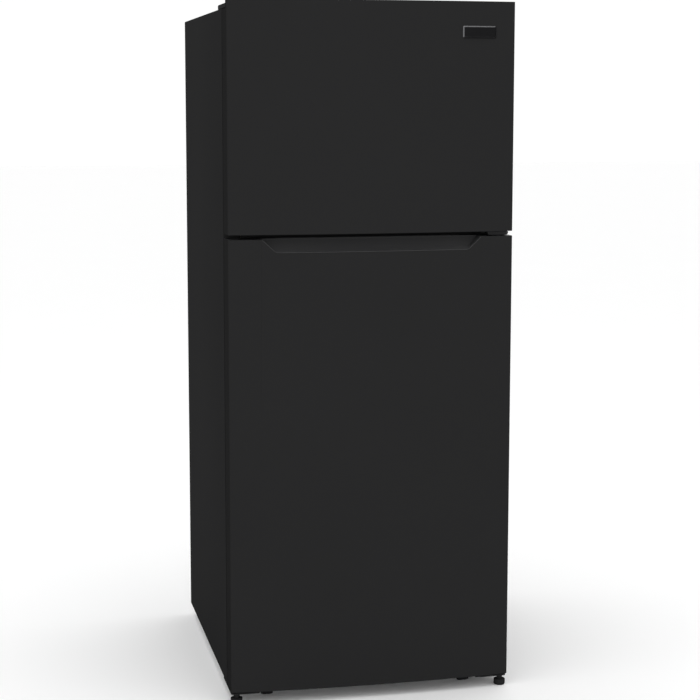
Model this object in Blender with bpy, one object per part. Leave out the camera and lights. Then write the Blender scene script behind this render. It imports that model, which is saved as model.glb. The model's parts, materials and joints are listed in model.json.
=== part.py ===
"""Top freezer refrigerator with two right-hinged doors, modelled as the separate pieces it is made of.

Metres, +Z up. The origin is on the floor, under the middle of the object's box. -Y is the front.
Pieces that move are parented to an empty on their joint's axis.
"""

import math

import bmesh
import bpy
from mathutils import Matrix, Vector

# ---- driving dimensions ----------------------------------------------------------------------
WIDTH = 0.600
DEPTH = 0.675
HEIGHT = 1.4535
DOOR_BOW = 0.0128  # how far the doors' fronts swell out at the middle
DOOR_THICKNESS = 0.055
SEAL_GAP = 0.008  # between the doors' backs and the cabinet's front
FLOOR_GAP = 0.0265  # under the lower door
CABINET_BOTTOM = 0.027
DOOR_LIP_RISE = 0.0165  # how far the upper door's lip stands above the cabinet
DOOR_LIP_DEPTH = 0.013
FRIDGE_DOOR_TOP = 0.9726
FREEZER_DOOR_BOTTOM = 0.9824
CLEAR = 0.0003  # between pieces that touch

# ---- worked out from them --------------------------------------------------------------------
HALF = WIDTH / 2
FRONT = -DEPTH / 2
BACK = DEPTH / 2
DOOR_CORNER = FRONT + DOOR_BOW
DOOR_BACK = DOOR_CORNER + DOOR_THICKNESS
CABINET_FRONT = DOOR_BACK + SEAL_GAP
CABINET_TOP = HEIGHT - DOOR_LIP_RISE
DOOR_STEP_TOP = CABINET_TOP - 0.0015
BOW_RADIUS = (HALF**2 + DOOR_BOW**2) / (2 * DOOR_BOW)
PIN_X = HALF - 0.014
PIN_Y = DOOR_CORNER + 0.027
PIN_RADIUS = 0.004
PIN_BORE = 0.0041

# ---- sheet, liners and compartments ----------------------------------------------------------
SHEET = 0.001
LINER = 0.0015
FACE_FLANGE = 0.036  # width of the cabinet's front flange, where the seals sit
FRIDGE_WALL = 0.2535
FREEZER_WALL = 0.2405
FRIDGE_FLOOR = 0.085
FRIDGE_CEILING = 0.945
FRIDGE_REAR = 0.2805
FREEZER_FLOOR = 1.010
FREEZER_CEILING = 1.379
FREEZER_REAR = 0.2755
STEP_FRONT = 0.0735  # where the lower compartment's floor steps up over the machinery
STEP_TOP = 0.300
SLANT_LOW = 0.130  # the step is upright to here, and leans back above it
SLANT_RUN = 0.0415
MACHINE_FRONT = 0.127
MACHINE_TOP = 0.250
MACHINE_WALL = 0.284
COVER_FACE = 0.212  # front of the panel before the evaporator
SEAM = 0.0005  # between sheets that meet edge to edge

# ---- doors: skin, ends, hand recess and raised borders ---------------------------------------
DOOR_FILLET = 0.0035
DOOR_HEM = 0.0135
SKIN = SHEET + CLEAR
CAP_HEIGHT = 0.0365
SHORT_CAP = 0.014
SCOOP_DEPTH = 0.0265
SCOOP_RUN = 0.030
SCOOP_TOP_HALF = 0.231
SCOOP_BOTTOM_HALF = 0.2025
CHANNEL_HALF = 0.200
DIKE_WIDTH = 0.025
DIKE_REACH = 0.045
FREEZER_DIKE = (0.226, FREEZER_DOOR_BOTTOM + 0.042, 1.368)  # half width, bottom and top
FRIDGE_DIKE = (0.240, 0.098, FRIDGE_DOOR_TOP - 0.042)
FREEZER_BINS = {"lower": (1.056, 0.070, 0.075), "upper": (1.215, 0.070, 0.075)}  # bottom, height, reach
FRIDGE_BINS = {
    "lower": (0.130, 0.110, 0.072),
    "middle": (0.450, 0.085, 0.095),
    "upper": (0.700, 0.070, 0.095),
}
SEAL_WIDTH = 0.014
BADGE_WIDTH = 0.072
BADGE_HEIGHT = 0.025
BADGE_X = 0.222
BADGE_Z = 1.391

# ---- hinge plates and their covers -----------------------------------------------------------
COVER_BACK = CABINET_FRONT + 0.0645
COVER_TOP = CABINET_TOP + 0.0095
COVER_WALL = 0.002
COVER_INNER_X = 0.238

# ---- rollers and feet ------------------------------------------------------------------------
ROLLER_RADIUS = 0.012
ROLLER_WIDTH = 0.024
AXLE_RADIUS = 0.002
FRONT_ROLLER_Y = DOOR_CORNER + 0.0545
ROLLERS = {
    "roller_front_left": (-0.216, FRONT_ROLLER_Y, ROLLER_RADIUS),
    "roller_front_right": (0.216, FRONT_ROLLER_Y, ROLLER_RADIUS),
    "roller_rear_left": (-0.245, 0.300, ROLLER_RADIUS),
    "roller_rear_right": (0.245, 0.300, ROLLER_RADIUS),
}
FOOT_X = HALF - 0.013
FOOT_Y = DOOR_CORNER + 0.013
FOOT_RADIUS = 0.0123
STUD_RADIUS = 0.003
PAD_HEIGHT = 0.0125
BOSS_RADIUS = 0.00585
BRACKET_TOP = 0.0235
BRACKET_BOTTOM = 0.0205
BRACKET_BACK = -0.205
BRACKET_INNER_X = 0.238

# ---- shelves, drawer, fan and controls -------------------------------------------------------
FREEZER_SHELF = 1.205
FRIDGE_SHELVES = {"lower": 0.520, "upper": 0.720}
SHELF_FRONT = -0.150
SHELF_BACK = 0.272
SHELF_THICKNESS = 0.0045
CRISPER_LID = 0.300
DRAWER_FRONT = -0.140
FAN_Z = 1.310
FAN_Y = COVER_FACE + 0.020
SLIDER_X = 0.150
SLIDER_Z = 1.090
HOUSING_FRONT = -0.185
HOUSING_HALF = 0.110
HOUSING_BOTTOM = FRIDGE_CEILING - 0.044
LAMP_LEFT = -0.005
LAMP_RIGHT = 0.095
KNOB_X = -0.055
KNOB_Z = FRIDGE_CEILING - 0.023
KNOB_RADIUS = 0.0165

# ---- machinery -------------------------------------------------------------------------------
PAN_TOP = CABINET_BOTTOM + SHEET
COMPRESSOR_X = -0.130
COMPRESSOR_Y = 0.236
COMPRESSOR_RADIUS = 0.068
TRAY_LEFT = 0.050
TRAY_RIGHT = 0.215
TRAY_FRONT = 0.170
TRAY_BACK = 0.320
TRAY_TOP = 0.075
GLAND_Y = 0.328
GLAND_Z = 0.056

FINISHES = {
    "black_enamel": ((0.022, 0.022, 0.023), 0.45, 0.0),
    "black_plastic": ((0.025, 0.025, 0.026), 0.5, 0.0),
    "zinc_steel": ((0.55, 0.56, 0.57), 0.4, 1.0),
    "foam": ((0.85, 0.80, 0.62), 0.9, 0.0),
    "white_liner": ((0.86, 0.88, 0.88), 0.3, 0.0),
    "white_plastic": ((0.82, 0.84, 0.84), 0.4, 0.0),
    "clear_plastic": ((0.80, 0.88, 0.90), 0.1, 0.0),
    "glass": ((0.78, 0.88, 0.86), 0.05, 0.0),
    "seal_rubber": ((0.07, 0.07, 0.07), 0.7, 0.0),
    "copper": ((0.72, 0.38, 0.24), 0.35, 1.0),
    "aluminium": ((0.75, 0.76, 0.77), 0.4, 1.0),
    "badge_metal": ((0.30, 0.30, 0.31), 0.3, 1.0),
}


# ---- tools -----------------------------------------------------------------------------------
def clear_scene():
    for thing in list(bpy.data.objects):
        bpy.data.objects.remove(thing, do_unlink=True)


def new_object(name, bm):
    """Makes an object from a closed bmesh, with its faces turned outwards."""
    bmesh.ops.recalc_face_normals(bm, faces=bm.faces)
    mesh = bpy.data.meshes.new(name)
    bm.to_mesh(mesh)
    bm.free()
    part = bpy.data.objects.new(name, mesh)
    bpy.context.collection.objects.link(part)
    return part


def prism(outline, axis, start, end):
    """Extrudes an outline along an axis: X takes points (y, z), Y takes (x, z) and Z takes (x, y)."""
    place = {
        "X": lambda u, v, w: (w, u, v),
        "Y": lambda u, v, w: (u, w, v),
        "Z": lambda u, v, w: (u, v, w),
    }[axis]
    bm = bmesh.new()
    low = [bm.verts.new(place(u, v, start)) for u, v in outline]
    high = [bm.verts.new(place(u, v, end)) for u, v in outline]
    bm.faces.new(low)
    bm.faces.new(reversed(high))
    count = len(outline)
    for index in range(count):
        after = (index + 1) % count
        bm.faces.new((low[index], high[index], high[after], low[after]))
    return new_object("solid", bm)


def box(low, high):
    outline = [(low[0], low[1]), (high[0], low[1]), (high[0], high[1]), (low[0], high[1])]
    return prism(outline, "Z", low[2], high[2])


def arc(centre, radius, start, end, steps):
    """Points along an arc, angles in degrees."""
    points = []
    for step in range(steps + 1):
        angle = math.radians(start + (end - start) * step / steps)
        points.append((centre[0] + radius * math.cos(angle), centre[1] + radius * math.sin(angle)))
    return points


def rounded_rectangle(u_low, v_low, u_high, v_high, radius, steps=4):
    outline = arc((u_high - radius, v_low + radius), radius, -90, 0, steps)
    outline += arc((u_high - radius, v_high - radius), radius, 0, 90, steps)
    outline += arc((u_low + radius, v_high - radius), radius, 90, 180, steps)
    outline += arc((u_low + radius, v_low + radius), radius, 180, 270, steps)
    return outline


def turned(profile, centre, axis="Z", segments=24):
    """Revolves a profile of (radius, height) points about an axis; a radius of 0 lies on the axis."""
    bm = bmesh.new()
    rings = []
    for radius, height in profile:
        if radius == 0:
            rings.append([bm.verts.new((0, 0, height))])
            continue
        ring = []
        for segment in range(segments):
            angle = math.tau * segment / segments
            ring.append(bm.verts.new((radius * math.cos(angle), radius * math.sin(angle), height)))
        rings.append(ring)
    on_axis = profile[0][0] == 0
    pairs = len(rings) - 1 if on_axis else len(rings)
    for index in range(pairs):
        first = rings[index]
        second = rings[(index + 1) % len(rings)]
        for segment in range(segments):
            after = (segment + 1) % segments
            corners = [first[segment % len(first)], first[after % len(first)]]
            corners += [second[after % len(second)], second[segment % len(second)]]
            bm.faces.new(list(dict.fromkeys(corners)))
    turn = {
        "Z": Matrix.Identity(4),
        "X": Matrix.Rotation(math.radians(90), 4, "Y"),
        "Y": Matrix.Rotation(math.radians(-90), 4, "X"),
    }[axis]
    bm.transform(Matrix.Translation(centre) @ turn)
    return new_object("solid", bm)


def cylinder(centre, radius, low, high, axis="Z", segments=24):
    """A round bar between two heights along its axis."""
    profile = [(0, low), (radius, low), (radius, high), (0, high)]
    return turned(profile, centre, axis, segments)


def combine(part, others, operation):
    """Cuts or joins other solids into a part, and removes them."""
    for other in others:
        modifier = part.modifiers.new(operation.lower(), "BOOLEAN")
        modifier.operation = operation
        modifier.solver = "EXACT"
        modifier.object = other
    depsgraph = bpy.context.evaluated_depsgraph_get()
    mesh = bpy.data.meshes.new_from_object(part.evaluated_get(depsgraph))
    part.modifiers.clear()
    part.data = mesh
    for other in others:
        bpy.data.objects.remove(other, do_unlink=True)
    return part


def cut(part, *others):
    return combine(part, others, "DIFFERENCE")


def join(part, *others):
    return combine(part, others, "UNION")


def keep_common(part, *others):
    return combine(part, others, "INTERSECT")


def finish(part, name, look, pivot=None):
    """Names a piece, gives it its own material and, when it moves, hangs it on its pivot."""
    part.name = name
    part.data.name = name
    colour, roughness, metallic = FINISHES[look]
    material = bpy.data.materials.new(name)
    material.use_nodes = True
    shader = material.node_tree.nodes["Principled BSDF"]
    shader.inputs["Base Color"].default_value = (*colour, 1.0)
    shader.inputs["Roughness"].default_value = roughness
    shader.inputs["Metallic"].default_value = metallic
    part.data.materials.clear()
    part.data.materials.append(material)
    if part.type == "MESH":
        part.data.shade_smooth()
        part.data.set_sharp_from_angle(angle=math.radians(35))
    if pivot:
        part.data.transform(Matrix.Translation(-pivot.location))
        part.parent = pivot
    return part


def pivot_at(name, place):
    pivot = bpy.data.objects.new(name, None)
    pivot.location = place
    bpy.context.collection.objects.link(pivot)
    return pivot


def tube(name, look, points, radius):
    """A bent pipe along a smooth line through its points."""
    curve = bpy.data.curves.new(name, "CURVE")
    curve.dimensions = "3D"
    curve.bevel_depth = radius
    curve.bevel_resolution = 1
    curve.use_fill_caps = True
    spline = curve.splines.new("POLY")
    smooth = smooth_line(points, 4)
    spline.points.add(len(smooth) - 1)
    for point, place in zip(spline.points, smooth):
        point.co = (*place, 1.0)
    part = bpy.data.objects.new(name, curve)
    bpy.context.collection.objects.link(part)
    return finish(part, name, look)


def smooth_line(points, steps):
    """Catmull-Rom points through the given ones."""
    knots = [Vector(point) for point in points]
    knots = [2 * knots[0] - knots[1]] + knots + [2 * knots[-1] - knots[-2]]
    line = []
    for index in range(1, len(knots) - 2):
        before, here, there, after = knots[index - 1 : index + 3]
        for step in range(steps):
            t = step / steps
            slope_in = (there - before) / 2
            slope_out = (after - here) / 2
            place = (2 * t**3 - 3 * t**2 + 1) * here + (t**3 - 2 * t**2 + t) * slope_in
            place += (-2 * t**3 + 3 * t**2) * there + (t**3 - t**2) * slope_out
            line.append(place)
    line.append(knots[-2])
    return line


# ---- cabinet ---------------------------------------------------------------------------------
def cabinet_outline(inset, bottom, radius):
    """The cabinet seen from the front: square at the bottom, with small rounds at the top corners."""
    side = HALF - inset
    top = CABINET_TOP - inset
    outline = [(-side, bottom), (side, bottom)]
    outline += arc((side - radius, top - radius), radius, 0, 90, 4)
    outline += arc((-side + radius, top - radius), radius, 90, 180, 4)
    return outline


def cabinet_shell():
    """The steel wrap: one sheet over the top and sides, turned in to a flange at the front."""
    shell = prism(cabinet_outline(0, CABINET_BOTTOM, 0.003), "Y", CABINET_FRONT, BACK - SHEET - CLEAR)
    hollow = prism(cabinet_outline(SHEET, -0.1, 0.002), "Y", CABINET_FRONT + SHEET, BACK + 0.1)
    window_side = HALF - FACE_FLANGE
    window_top = CABINET_TOP - FACE_FLANGE
    window = box((-window_side, CABINET_FRONT - 0.1, -0.1), (window_side, BACK + 0.2, window_top))
    return finish(cut(shell, hollow, window), "cabinet_shell", "black_enamel")


def fridge_cavity(front, grow):
    """The lower compartment's space, grown outwards by a margin; its floor steps up over the machinery."""
    rise = STEP_TOP - SLANT_LOW
    slant = math.hypot(SLANT_RUN, rise)
    slope_in = grow * (slant - rise) / SLANT_RUN
    slope_top = grow * (slant - SLANT_RUN) / rise
    outline = [
        (front, FRIDGE_FLOOR - grow),
        (STEP_FRONT + grow, FRIDGE_FLOOR - grow),
        (STEP_FRONT + grow, SLANT_LOW - slope_in),
        (STEP_FRONT + SLANT_RUN + slope_top, STEP_TOP - grow),
        (FRIDGE_REAR + grow, STEP_TOP - grow),
        (FRIDGE_REAR + grow, FRIDGE_CEILING + grow),
        (front, FRIDGE_CEILING + grow),
    ]
    side = FRIDGE_WALL + grow
    return prism(outline, "X", -side, side)


def freezer_cavity(front, grow):
    side = FREEZER_WALL + grow
    low = (-side, front, FREEZER_FLOOR - grow)
    high = (side, FREEZER_REAR + grow, FREEZER_CEILING + grow)
    return box(low, high)


def insulation():
    """The foam that fills the cabinet between its steel wrap and its liners."""
    front = CABINET_FRONT + LINER + 2 * CLEAR
    margin = LINER + CLEAR
    side = SHEET + CLEAR
    outline = cabinet_outline(side, CABINET_BOTTOM + SHEET + 2 * CLEAR, 0.0015)
    foam = prism(outline, "Y", front, BACK - SHEET - 2 * CLEAR)
    before = CABINET_FRONT - 0.1
    machine = [
        (MACHINE_FRONT, -0.1),
        (MACHINE_FRONT, 0.100),
        (MACHINE_FRONT + 0.038, MACHINE_TOP),
        (BACK + 0.1, MACHINE_TOP),
        (BACK + 0.1, -0.1),
    ]
    room = prism(machine, "X", -MACHINE_WALL, MACHINE_WALL)
    cut(foam, fridge_cavity(before, margin), freezer_cavity(before, margin), room)
    return finish(foam, "insulation", "foam")


def back_panel():
    low = (-HALF + SEAM, BACK - SHEET, MACHINE_TOP + 0.004)
    high = (HALF - SEAM, BACK, CABINET_TOP - SEAM)
    return finish(box(low, high), "back_panel", "zinc_steel")


def shelf_ledges(wall, heights, front, back):
    """Pairs of ledges on a liner's side walls."""
    ledges = []
    for height in heights:
        for side in (-1, 1):
            inner = side * (wall - 0.009)
            outer = side * (wall + LINER / 2)
            low = (min(inner, outer), front, height - 0.008)
            high = (max(inner, outer), back, height)
            ledges.append(box(low, high))
    return ledges


def freezer_liner():
    body = freezer_cavity(CABINET_FRONT, LINER)
    flange_side = HALF - FACE_FLANGE - SEAM
    flange_low = (-flange_side, CABINET_FRONT, FREEZER_FLOOR - 0.0045)
    flange_high = (flange_side, CABINET_FRONT + LINER, CABINET_TOP - FACE_FLANGE - SEAM)
    join(body, box(flange_low, flange_high))
    cut(body, freezer_cavity(CABINET_FRONT - 0.1, 0))
    join(body, *shelf_ledges(FREEZER_WALL, [FREEZER_SHELF], SHELF_FRONT, 0.190))
    return finish(body, "freezer_liner", "white_liner")


def fridge_liner():
    body = fridge_cavity(CABINET_FRONT, LINER)
    flange_side = HALF - FACE_FLANGE - SEAM
    flange_low = (-flange_side, CABINET_FRONT, CABINET_BOTTOM + FACE_FLANGE - 0.0025)
    flange_high = (flange_side, CABINET_FRONT + LINER, FRIDGE_CEILING + 0.0045)
    join(body, box(flange_low, flange_high))
    cut(body, fridge_cavity(CABINET_FRONT - 0.1, 0))
    join(body, *shelf_ledges(FRIDGE_WALL, FRIDGE_SHELVES.values(), SHELF_FRONT, SHELF_BACK - 0.012))
    join(body, *shelf_ledges(FRIDGE_WALL, [CRISPER_LID], DRAWER_FRONT, STEP_FRONT - 0.005))
    return finish(body, "fridge_liner", "white_liner")


def mullion_cover():
    """The steel strip across the front of the divider between the two compartments."""
    side = HALF - FACE_FLANGE - SEAM
    low = (-side, CABINET_FRONT, FRIDGE_CEILING + 0.005)
    high = (side, CABINET_FRONT + SHEET, FREEZER_FLOOR - 0.005)
    return finish(box(low, high), "mullion_cover", "black_enamel")


def base_pan():
    """The steel floor of the cabinet, with its front rail and the cheeks that hold the rollers."""
    side = HALF - SHEET - CLEAR
    pan_front = CABINET_FRONT + SHEET + CLEAR
    pan = box((-side, pan_front, CABINET_BOTTOM), (side, BACK - 0.003, PAN_TOP))
    rail_side = HALF - FACE_FLANGE - SEAM
    rail_low = (-rail_side, CABINET_FRONT, CABINET_BOTTOM)
    rail_high = (rail_side, CABINET_FRONT + 0.0015, CABINET_BOTTOM + FACE_FLANGE - 0.003)
    pieces = [box(rail_low, rail_high)]
    for place in ROLLERS.values():
        for end in (-1, 1):
            pieces.append(roller_cheek(place, end))
    join(pan, *pieces)
    bores = []
    for place in ROLLERS.values():
        reach = ROLLER_WIDTH / 2 + 0.006
        bores.append(cylinder(place, AXLE_RADIUS + 0.0003, -reach, reach, "X", 16))
    cut(pan, *bores)
    return finish(pan, "base_pan", "zinc_steel")


# ---- rollers and feet ------------------------------------------------------------------------
def roller_cheek(place, end):
    """One of the two upright ears beside a roller, hanging from the base pan."""
    inner = place[0] + end * (ROLLER_WIDTH / 2 + 0.001)
    outer = place[0] + end * (ROLLER_WIDTH / 2 + 0.003)
    top = CABINET_BOTTOM + SHEET / 2
    outline = [(place[1] + 0.010, top), (place[1] - 0.010, top)]
    if place[1] < CABINET_FRONT:
        rail = CABINET_FRONT + 0.002
        outline = [(rail + 0.018, top), (rail, top), (rail, 0.0245), (place[1] - 0.0065, 0.0215)]
    outline += arc((place[1], place[2]), 0.0065, 180, 330, 6)
    return prism(outline, "X", min(inner, outer), max(inner, outer))


def roller(name, place):
    """A small wheel with a slightly crowned tread, on its axle."""
    pivot = pivot_at(name + "_axis", place)
    half = ROLLER_WIDTH / 2
    bore = AXLE_RADIUS + 0.0001
    profile = [(bore, -half), (ROLLER_RADIUS * 0.72, -half)]
    for step in range(7):
        across = -1 + step / 3
        profile.append((ROLLER_RADIUS * (1 - 0.10 * across**4), half * across * 0.97))
    profile += [(ROLLER_RADIUS * 0.72, half), (bore, half)]
    wheel = turned(profile, place, "X", 24)
    finish(wheel, name, "black_plastic", pivot)
    reach = half + 0.0045
    head = AXLE_RADIUS + 0.001
    bar = [(0, -reach), (head, -reach), (head, -reach + 0.0012), (AXLE_RADIUS, -reach + 0.0012)]
    bar += [(AXLE_RADIUS, reach - 0.0012), (head, reach - 0.0012), (head, reach), (0, reach)]
    axle = turned(bar, place, "X", 16)
    return finish(axle, name + "_axle", "zinc_steel")


def foot_bracket(name, side, with_pin):
    """A plate under a front corner, with a threaded boss for the foot and, at the right, the hinge pin."""
    inner = side * BRACKET_INNER_X
    outer = side * (HALF - 0.0008)
    left = min(inner, outer)
    right = max(inner, outer)
    plate_outline = rounded_rectangle(left, FOOT_Y - 0.009, right, BRACKET_BACK, 0.006)
    plate = prism(plate_outline, "Z", BRACKET_BOTTOM, BRACKET_TOP)
    riser_low = (left + 0.004, CABINET_FRONT + 0.008, BRACKET_TOP - 0.001)
    riser_high = (right - 0.006, BRACKET_BACK - 0.002, CABINET_BOTTOM - CLEAR)
    riser = box(riser_low, riser_high)
    rib_left = min(side * 0.240, side * 0.270)
    rib_low = (rib_left, DOOR_CORNER + 0.036, 0.0095)
    rib = box(rib_low, (rib_left + 0.030, DOOR_CORNER + 0.039, BRACKET_TOP - 0.001))
    boss = cylinder((side * FOOT_X, FOOT_Y, 0), BOSS_RADIUS, PAD_HEIGHT + CLEAR, BRACKET_TOP - 0.001)
    pieces = [riser, rib, boss]
    if with_pin:
        pieces.append(cylinder((PIN_X, PIN_Y, 0), PIN_RADIUS, BRACKET_TOP - 0.001, FLOOR_GAP + 0.011))
    join(plate, *pieces)
    cut(plate, cylinder((side * FOOT_X, FOOT_Y, 0), 0.0033, 0.0, 0.0400, segments=16))
    return finish(plate, name, "black_enamel")


def levelling_foot(name, side):
    """A screw-in foot: a plastic pad with rounded edges on a threaded stud."""
    place = (side * FOOT_X, FOOT_Y, 0)
    pivot = pivot_at(name + "_axis", place)
    profile = [(0, 0), (FOOT_RADIUS - 0.0025, 0)]
    profile += [(FOOT_RADIUS - 0.0008, 0.001), (FOOT_RADIUS, 0.003)]
    profile += [(FOOT_RADIUS, PAD_HEIGHT - 0.001), (FOOT_RADIUS - 0.001, PAD_HEIGHT)]
    profile += [(STUD_RADIUS, PAD_HEIGHT), (STUD_RADIUS, BRACKET_TOP - 0.0005), (0, BRACKET_TOP - 0.0005)]
    return finish(turned(profile, place, "Z", 24), name, "black_plastic", pivot)


# ---- hinges and their covers -----------------------------------------------------------------
def hinge_outline(nose, right, left, back):
    """A hinge plate from above: a round nose at the pin, notched so that the open door's lip clears it."""
    shrink = 0.0125 - nose
    outline = [(left, back)]
    outline += [(left, PIN_Y - nose + 0.006)]
    outline += arc((left + 0.006, PIN_Y - nose + 0.006), 0.006, 180, 270, 4)[1:]
    outline += arc((PIN_X, PIN_Y), nose, -90, 30, 10)
    outline += [(PIN_X + right, PIN_Y + 0.0175 - shrink)]
    outline += [(PIN_X + right, back)]
    return outline


def top_hinge():
    back = CABINET_FRONT + 0.052
    outline = hinge_outline(0.010, 0.002, COVER_INNER_X + 0.005, back)
    plate = prism(outline, "Z", CABINET_TOP + CLEAR, CABINET_TOP + 0.0028)
    pin = cylinder((PIN_X, PIN_Y, 0), PIN_RADIUS, CABINET_TOP - 0.015, CABINET_TOP + 0.002)
    return finish(join(plate, pin), "top_hinge", "zinc_steel")


def top_hinge_cover():
    outline = hinge_outline(0.0125, 0.0045, COVER_INNER_X, COVER_BACK)
    shell = prism(outline, "Z", CABINET_TOP + CLEAR, COVER_TOP)
    soften(shell, COVER_TOP, 0.0025)
    inner = hinge_outline(0.0105, 0.0025, COVER_INNER_X + COVER_WALL, COVER_BACK - COVER_WALL)
    hollow = prism(inner, "Z", CABINET_TOP - 0.01, COVER_TOP - COVER_WALL)
    return finish(cut(shell, hollow), "top_hinge_cover", "black_plastic")


def left_top_cover():
    """The matching cap at the other end, over the holes for hanging the doors the other way round."""
    front = DOOR_CORNER + DOOR_LIP_DEPTH + 0.0007
    left = -HALF + 0.0015
    outline = rounded_rectangle(left, front, -COVER_INNER_X, COVER_BACK, 0.005)
    shell = prism(outline, "Z", CABINET_TOP + CLEAR, COVER_TOP)
    soften(shell, COVER_TOP, 0.0025)
    inner_right = -COVER_INNER_X - COVER_WALL
    inner = rounded_rectangle(left + COVER_WALL, front + COVER_WALL, inner_right, COVER_BACK - COVER_WALL, 0.003)
    hollow = prism(inner, "Z", CABINET_TOP - 0.01, COVER_TOP - COVER_WALL)
    return finish(cut(shell, hollow), "left_top_cover", "black_plastic")


def soften(part, height, width):
    """Bevels the edges round a part's top face."""
    bm = bmesh.new()
    bm.from_mesh(part.data)
    edges = [edge for edge in bm.edges if all(abs(vert.co.z - height) < 1e-6 for vert in edge.verts)]
    bmesh.ops.bevel(bm, geom=edges, offset=width, segments=3, profile=0.5, affect="EDGES")
    bm.to_mesh(part.data)
    bm.free()


def middle_hinge():
    """The bracket between the doors: a plate on the cabinet's front, an arm and a pin for each door."""
    arm_top = FREEZER_DOOR_BOTTOM - 0.0016
    arm_bottom = arm_top - 0.003
    right = HALF - 0.002
    face = CABINET_FRONT - CLEAR
    outline = [(0.240, face), (0.240, PIN_Y - 0.008)]
    outline += arc((PIN_X, PIN_Y), 0.010, -90, 0, 6)
    outline += [(right - 0.002, face)]
    arm = prism(outline, "Z", arm_bottom, arm_top)
    plate = box((0.238, face - 0.003, 0.9635), (right - 0.0005, face, 0.9915))
    up = cylinder((PIN_X, PIN_Y, 0), PIN_RADIUS, arm_top - 0.001, FREEZER_DOOR_BOTTOM + 0.012)
    down = cylinder((PIN_X, PIN_Y, 0), PIN_RADIUS, FRIDGE_DOOR_TOP - 0.012, arm_bottom + 0.001)
    return finish(join(arm, plate, up, down), "middle_hinge", "black_enamel")


# ---- doors -----------------------------------------------------------------------------------
def door_front(inset, steps=20):
    """The door's bowed front and its small corner rounds, from the right side to the left, from above."""
    side = HALF - inset
    fillet = DOOR_FILLET - min(inset, DOOR_FILLET - 0.0015)
    radius = BOW_RADIUS - inset
    centre_y = FRONT + BOW_RADIUS
    run = side - fillet
    fillet_y = centre_y - math.sqrt((radius - fillet) ** 2 - run**2)
    lean = math.degrees(math.asin(run / (radius - fillet)))
    outline = arc((run, fillet_y), fillet, 0, -90 + lean, 4)
    outline += arc((0, centre_y), radius, -90 + lean, -90 - lean, steps)[1:-1]
    outline += arc((-run, fillet_y), fillet, -90 - lean, -180, 4)
    return outline


def door_outline(inset, back):
    side = HALF - inset
    return [(side, back)] + door_front(inset) + [(-side, back)]


def door_panel(bottom, top):
    """The painted steel front, wrapped round the sides and turned in at the back."""
    hem = HALF - DOOR_HEM
    outer = [(hem, DOOR_BACK), (HALF, DOOR_BACK)] + door_front(0) + [(-HALF, DOOR_BACK), (-hem, DOOR_BACK)]
    back = DOOR_BACK - SHEET
    side = HALF - SHEET
    inner = [(hem, back), (side, back)] + door_front(SHEET) + [(-side, back), (-hem, back)]
    return prism(outer + inner[::-1], "Z", bottom, top)


def scoop_space():
    """The hand recess along the top of the lower door: a trapezoid from the front, rising towards the back."""
    bottom = FRIDGE_DOOR_TOP - SCOOP_DEPTH
    rise = SCOOP_DEPTH - 0.0012
    start = DOOR_CORNER - 0.002
    above = FRIDGE_DOOR_TOP + 0.02
    outline = [(FRONT - 0.02, above), (FRONT - 0.02, bottom), (start, bottom)]
    for step in range(1, 9):
        share = step / 8
        lift = rise * (0.45 * share + 0.55 * share**2)
        outline.append((start + SCOOP_RUN * share, bottom + lift))
    outline += [(start + SCOOP_RUN + 0.0015, FRIDGE_DOOR_TOP), (start + SCOOP_RUN + 0.002, above)]
    space = prism(outline, "X", -SCOOP_TOP_HALF - 0.05, SCOOP_TOP_HALF + 0.05)
    spread = (SCOOP_TOP_HALF - SCOOP_BOTTOM_HALF) / SCOOP_DEPTH
    top_half = SCOOP_BOTTOM_HALF + spread * (above + 0.01 - bottom)
    low_half = SCOOP_BOTTOM_HALF - spread * 0.01
    ends = [(-low_half, bottom - 0.01), (low_half, bottom - 0.01)]
    ends += [(top_half, above + 0.01), (-top_half, above + 0.01)]
    return keep_common(space, prism(ends, "Y", FRONT - 0.05, DOOR_BACK))


def freezer_door_panel(pivot):
    panel = door_panel(FREEZER_DOOR_BOTTOM, HEIGHT)
    rear = box((-1, DOOR_CORNER + DOOR_LIP_DEPTH, DOOR_STEP_TOP), (1, DOOR_BACK + 0.1, HEIGHT + 0.1))
    return finish(cut(panel, rear), "freezer_door_panel", "black_enamel", pivot)


def fridge_door_panel(pivot):
    panel = door_panel(FLOOR_GAP, FRIDGE_DOOR_TOP)
    return finish(cut(panel, scoop_space()), "fridge_door_panel", "black_enamel", pivot)


def door_cap(bottom, top):
    return prism(door_outline(SKIN, DOOR_BACK - LINER - CLEAR), "Z", bottom, top)


def pin_bore(low, high):
    return cylinder((PIN_X, PIN_Y, 0), PIN_BORE, low, high)


def freezer_door_top_cap(pivot):
    cap = door_cap(DOOR_STEP_TOP - SHORT_CAP - 0.003, HEIGHT - CLEAR)
    rear = box((-1, DOOR_CORNER + DOOR_LIP_DEPTH, DOOR_STEP_TOP), (1, DOOR_BACK + 0.1, HEIGHT + 0.1))
    cut(cap, rear, pin_bore(CABINET_TOP - 0.016, HEIGHT + 0.1))
    return finish(cap, "freezer_door_top_cap", "black_plastic", pivot)


def freezer_door_bottom_cap(pivot):
    """The lower end of the upper door, with a finger channel behind its front lip."""
    cap = door_cap(FREEZER_DOOR_BOTTOM, FREEZER_DOOR_BOTTOM + CAP_HEIGHT)
    low = (-CHANNEL_HALF, DOOR_CORNER + 0.015, FREEZER_DOOR_BOTTOM - 0.1)
    high = (CHANNEL_HALF, DOOR_CORNER + 0.045, FREEZER_DOOR_BOTTOM + 0.024)
    cut(cap, box(low, high), pin_bore(FREEZER_DOOR_BOTTOM - 0.1, FREEZER_DOOR_BOTTOM + 0.013))
    return finish(cap, "freezer_door_bottom_cap", "black_plastic", pivot)


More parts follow.
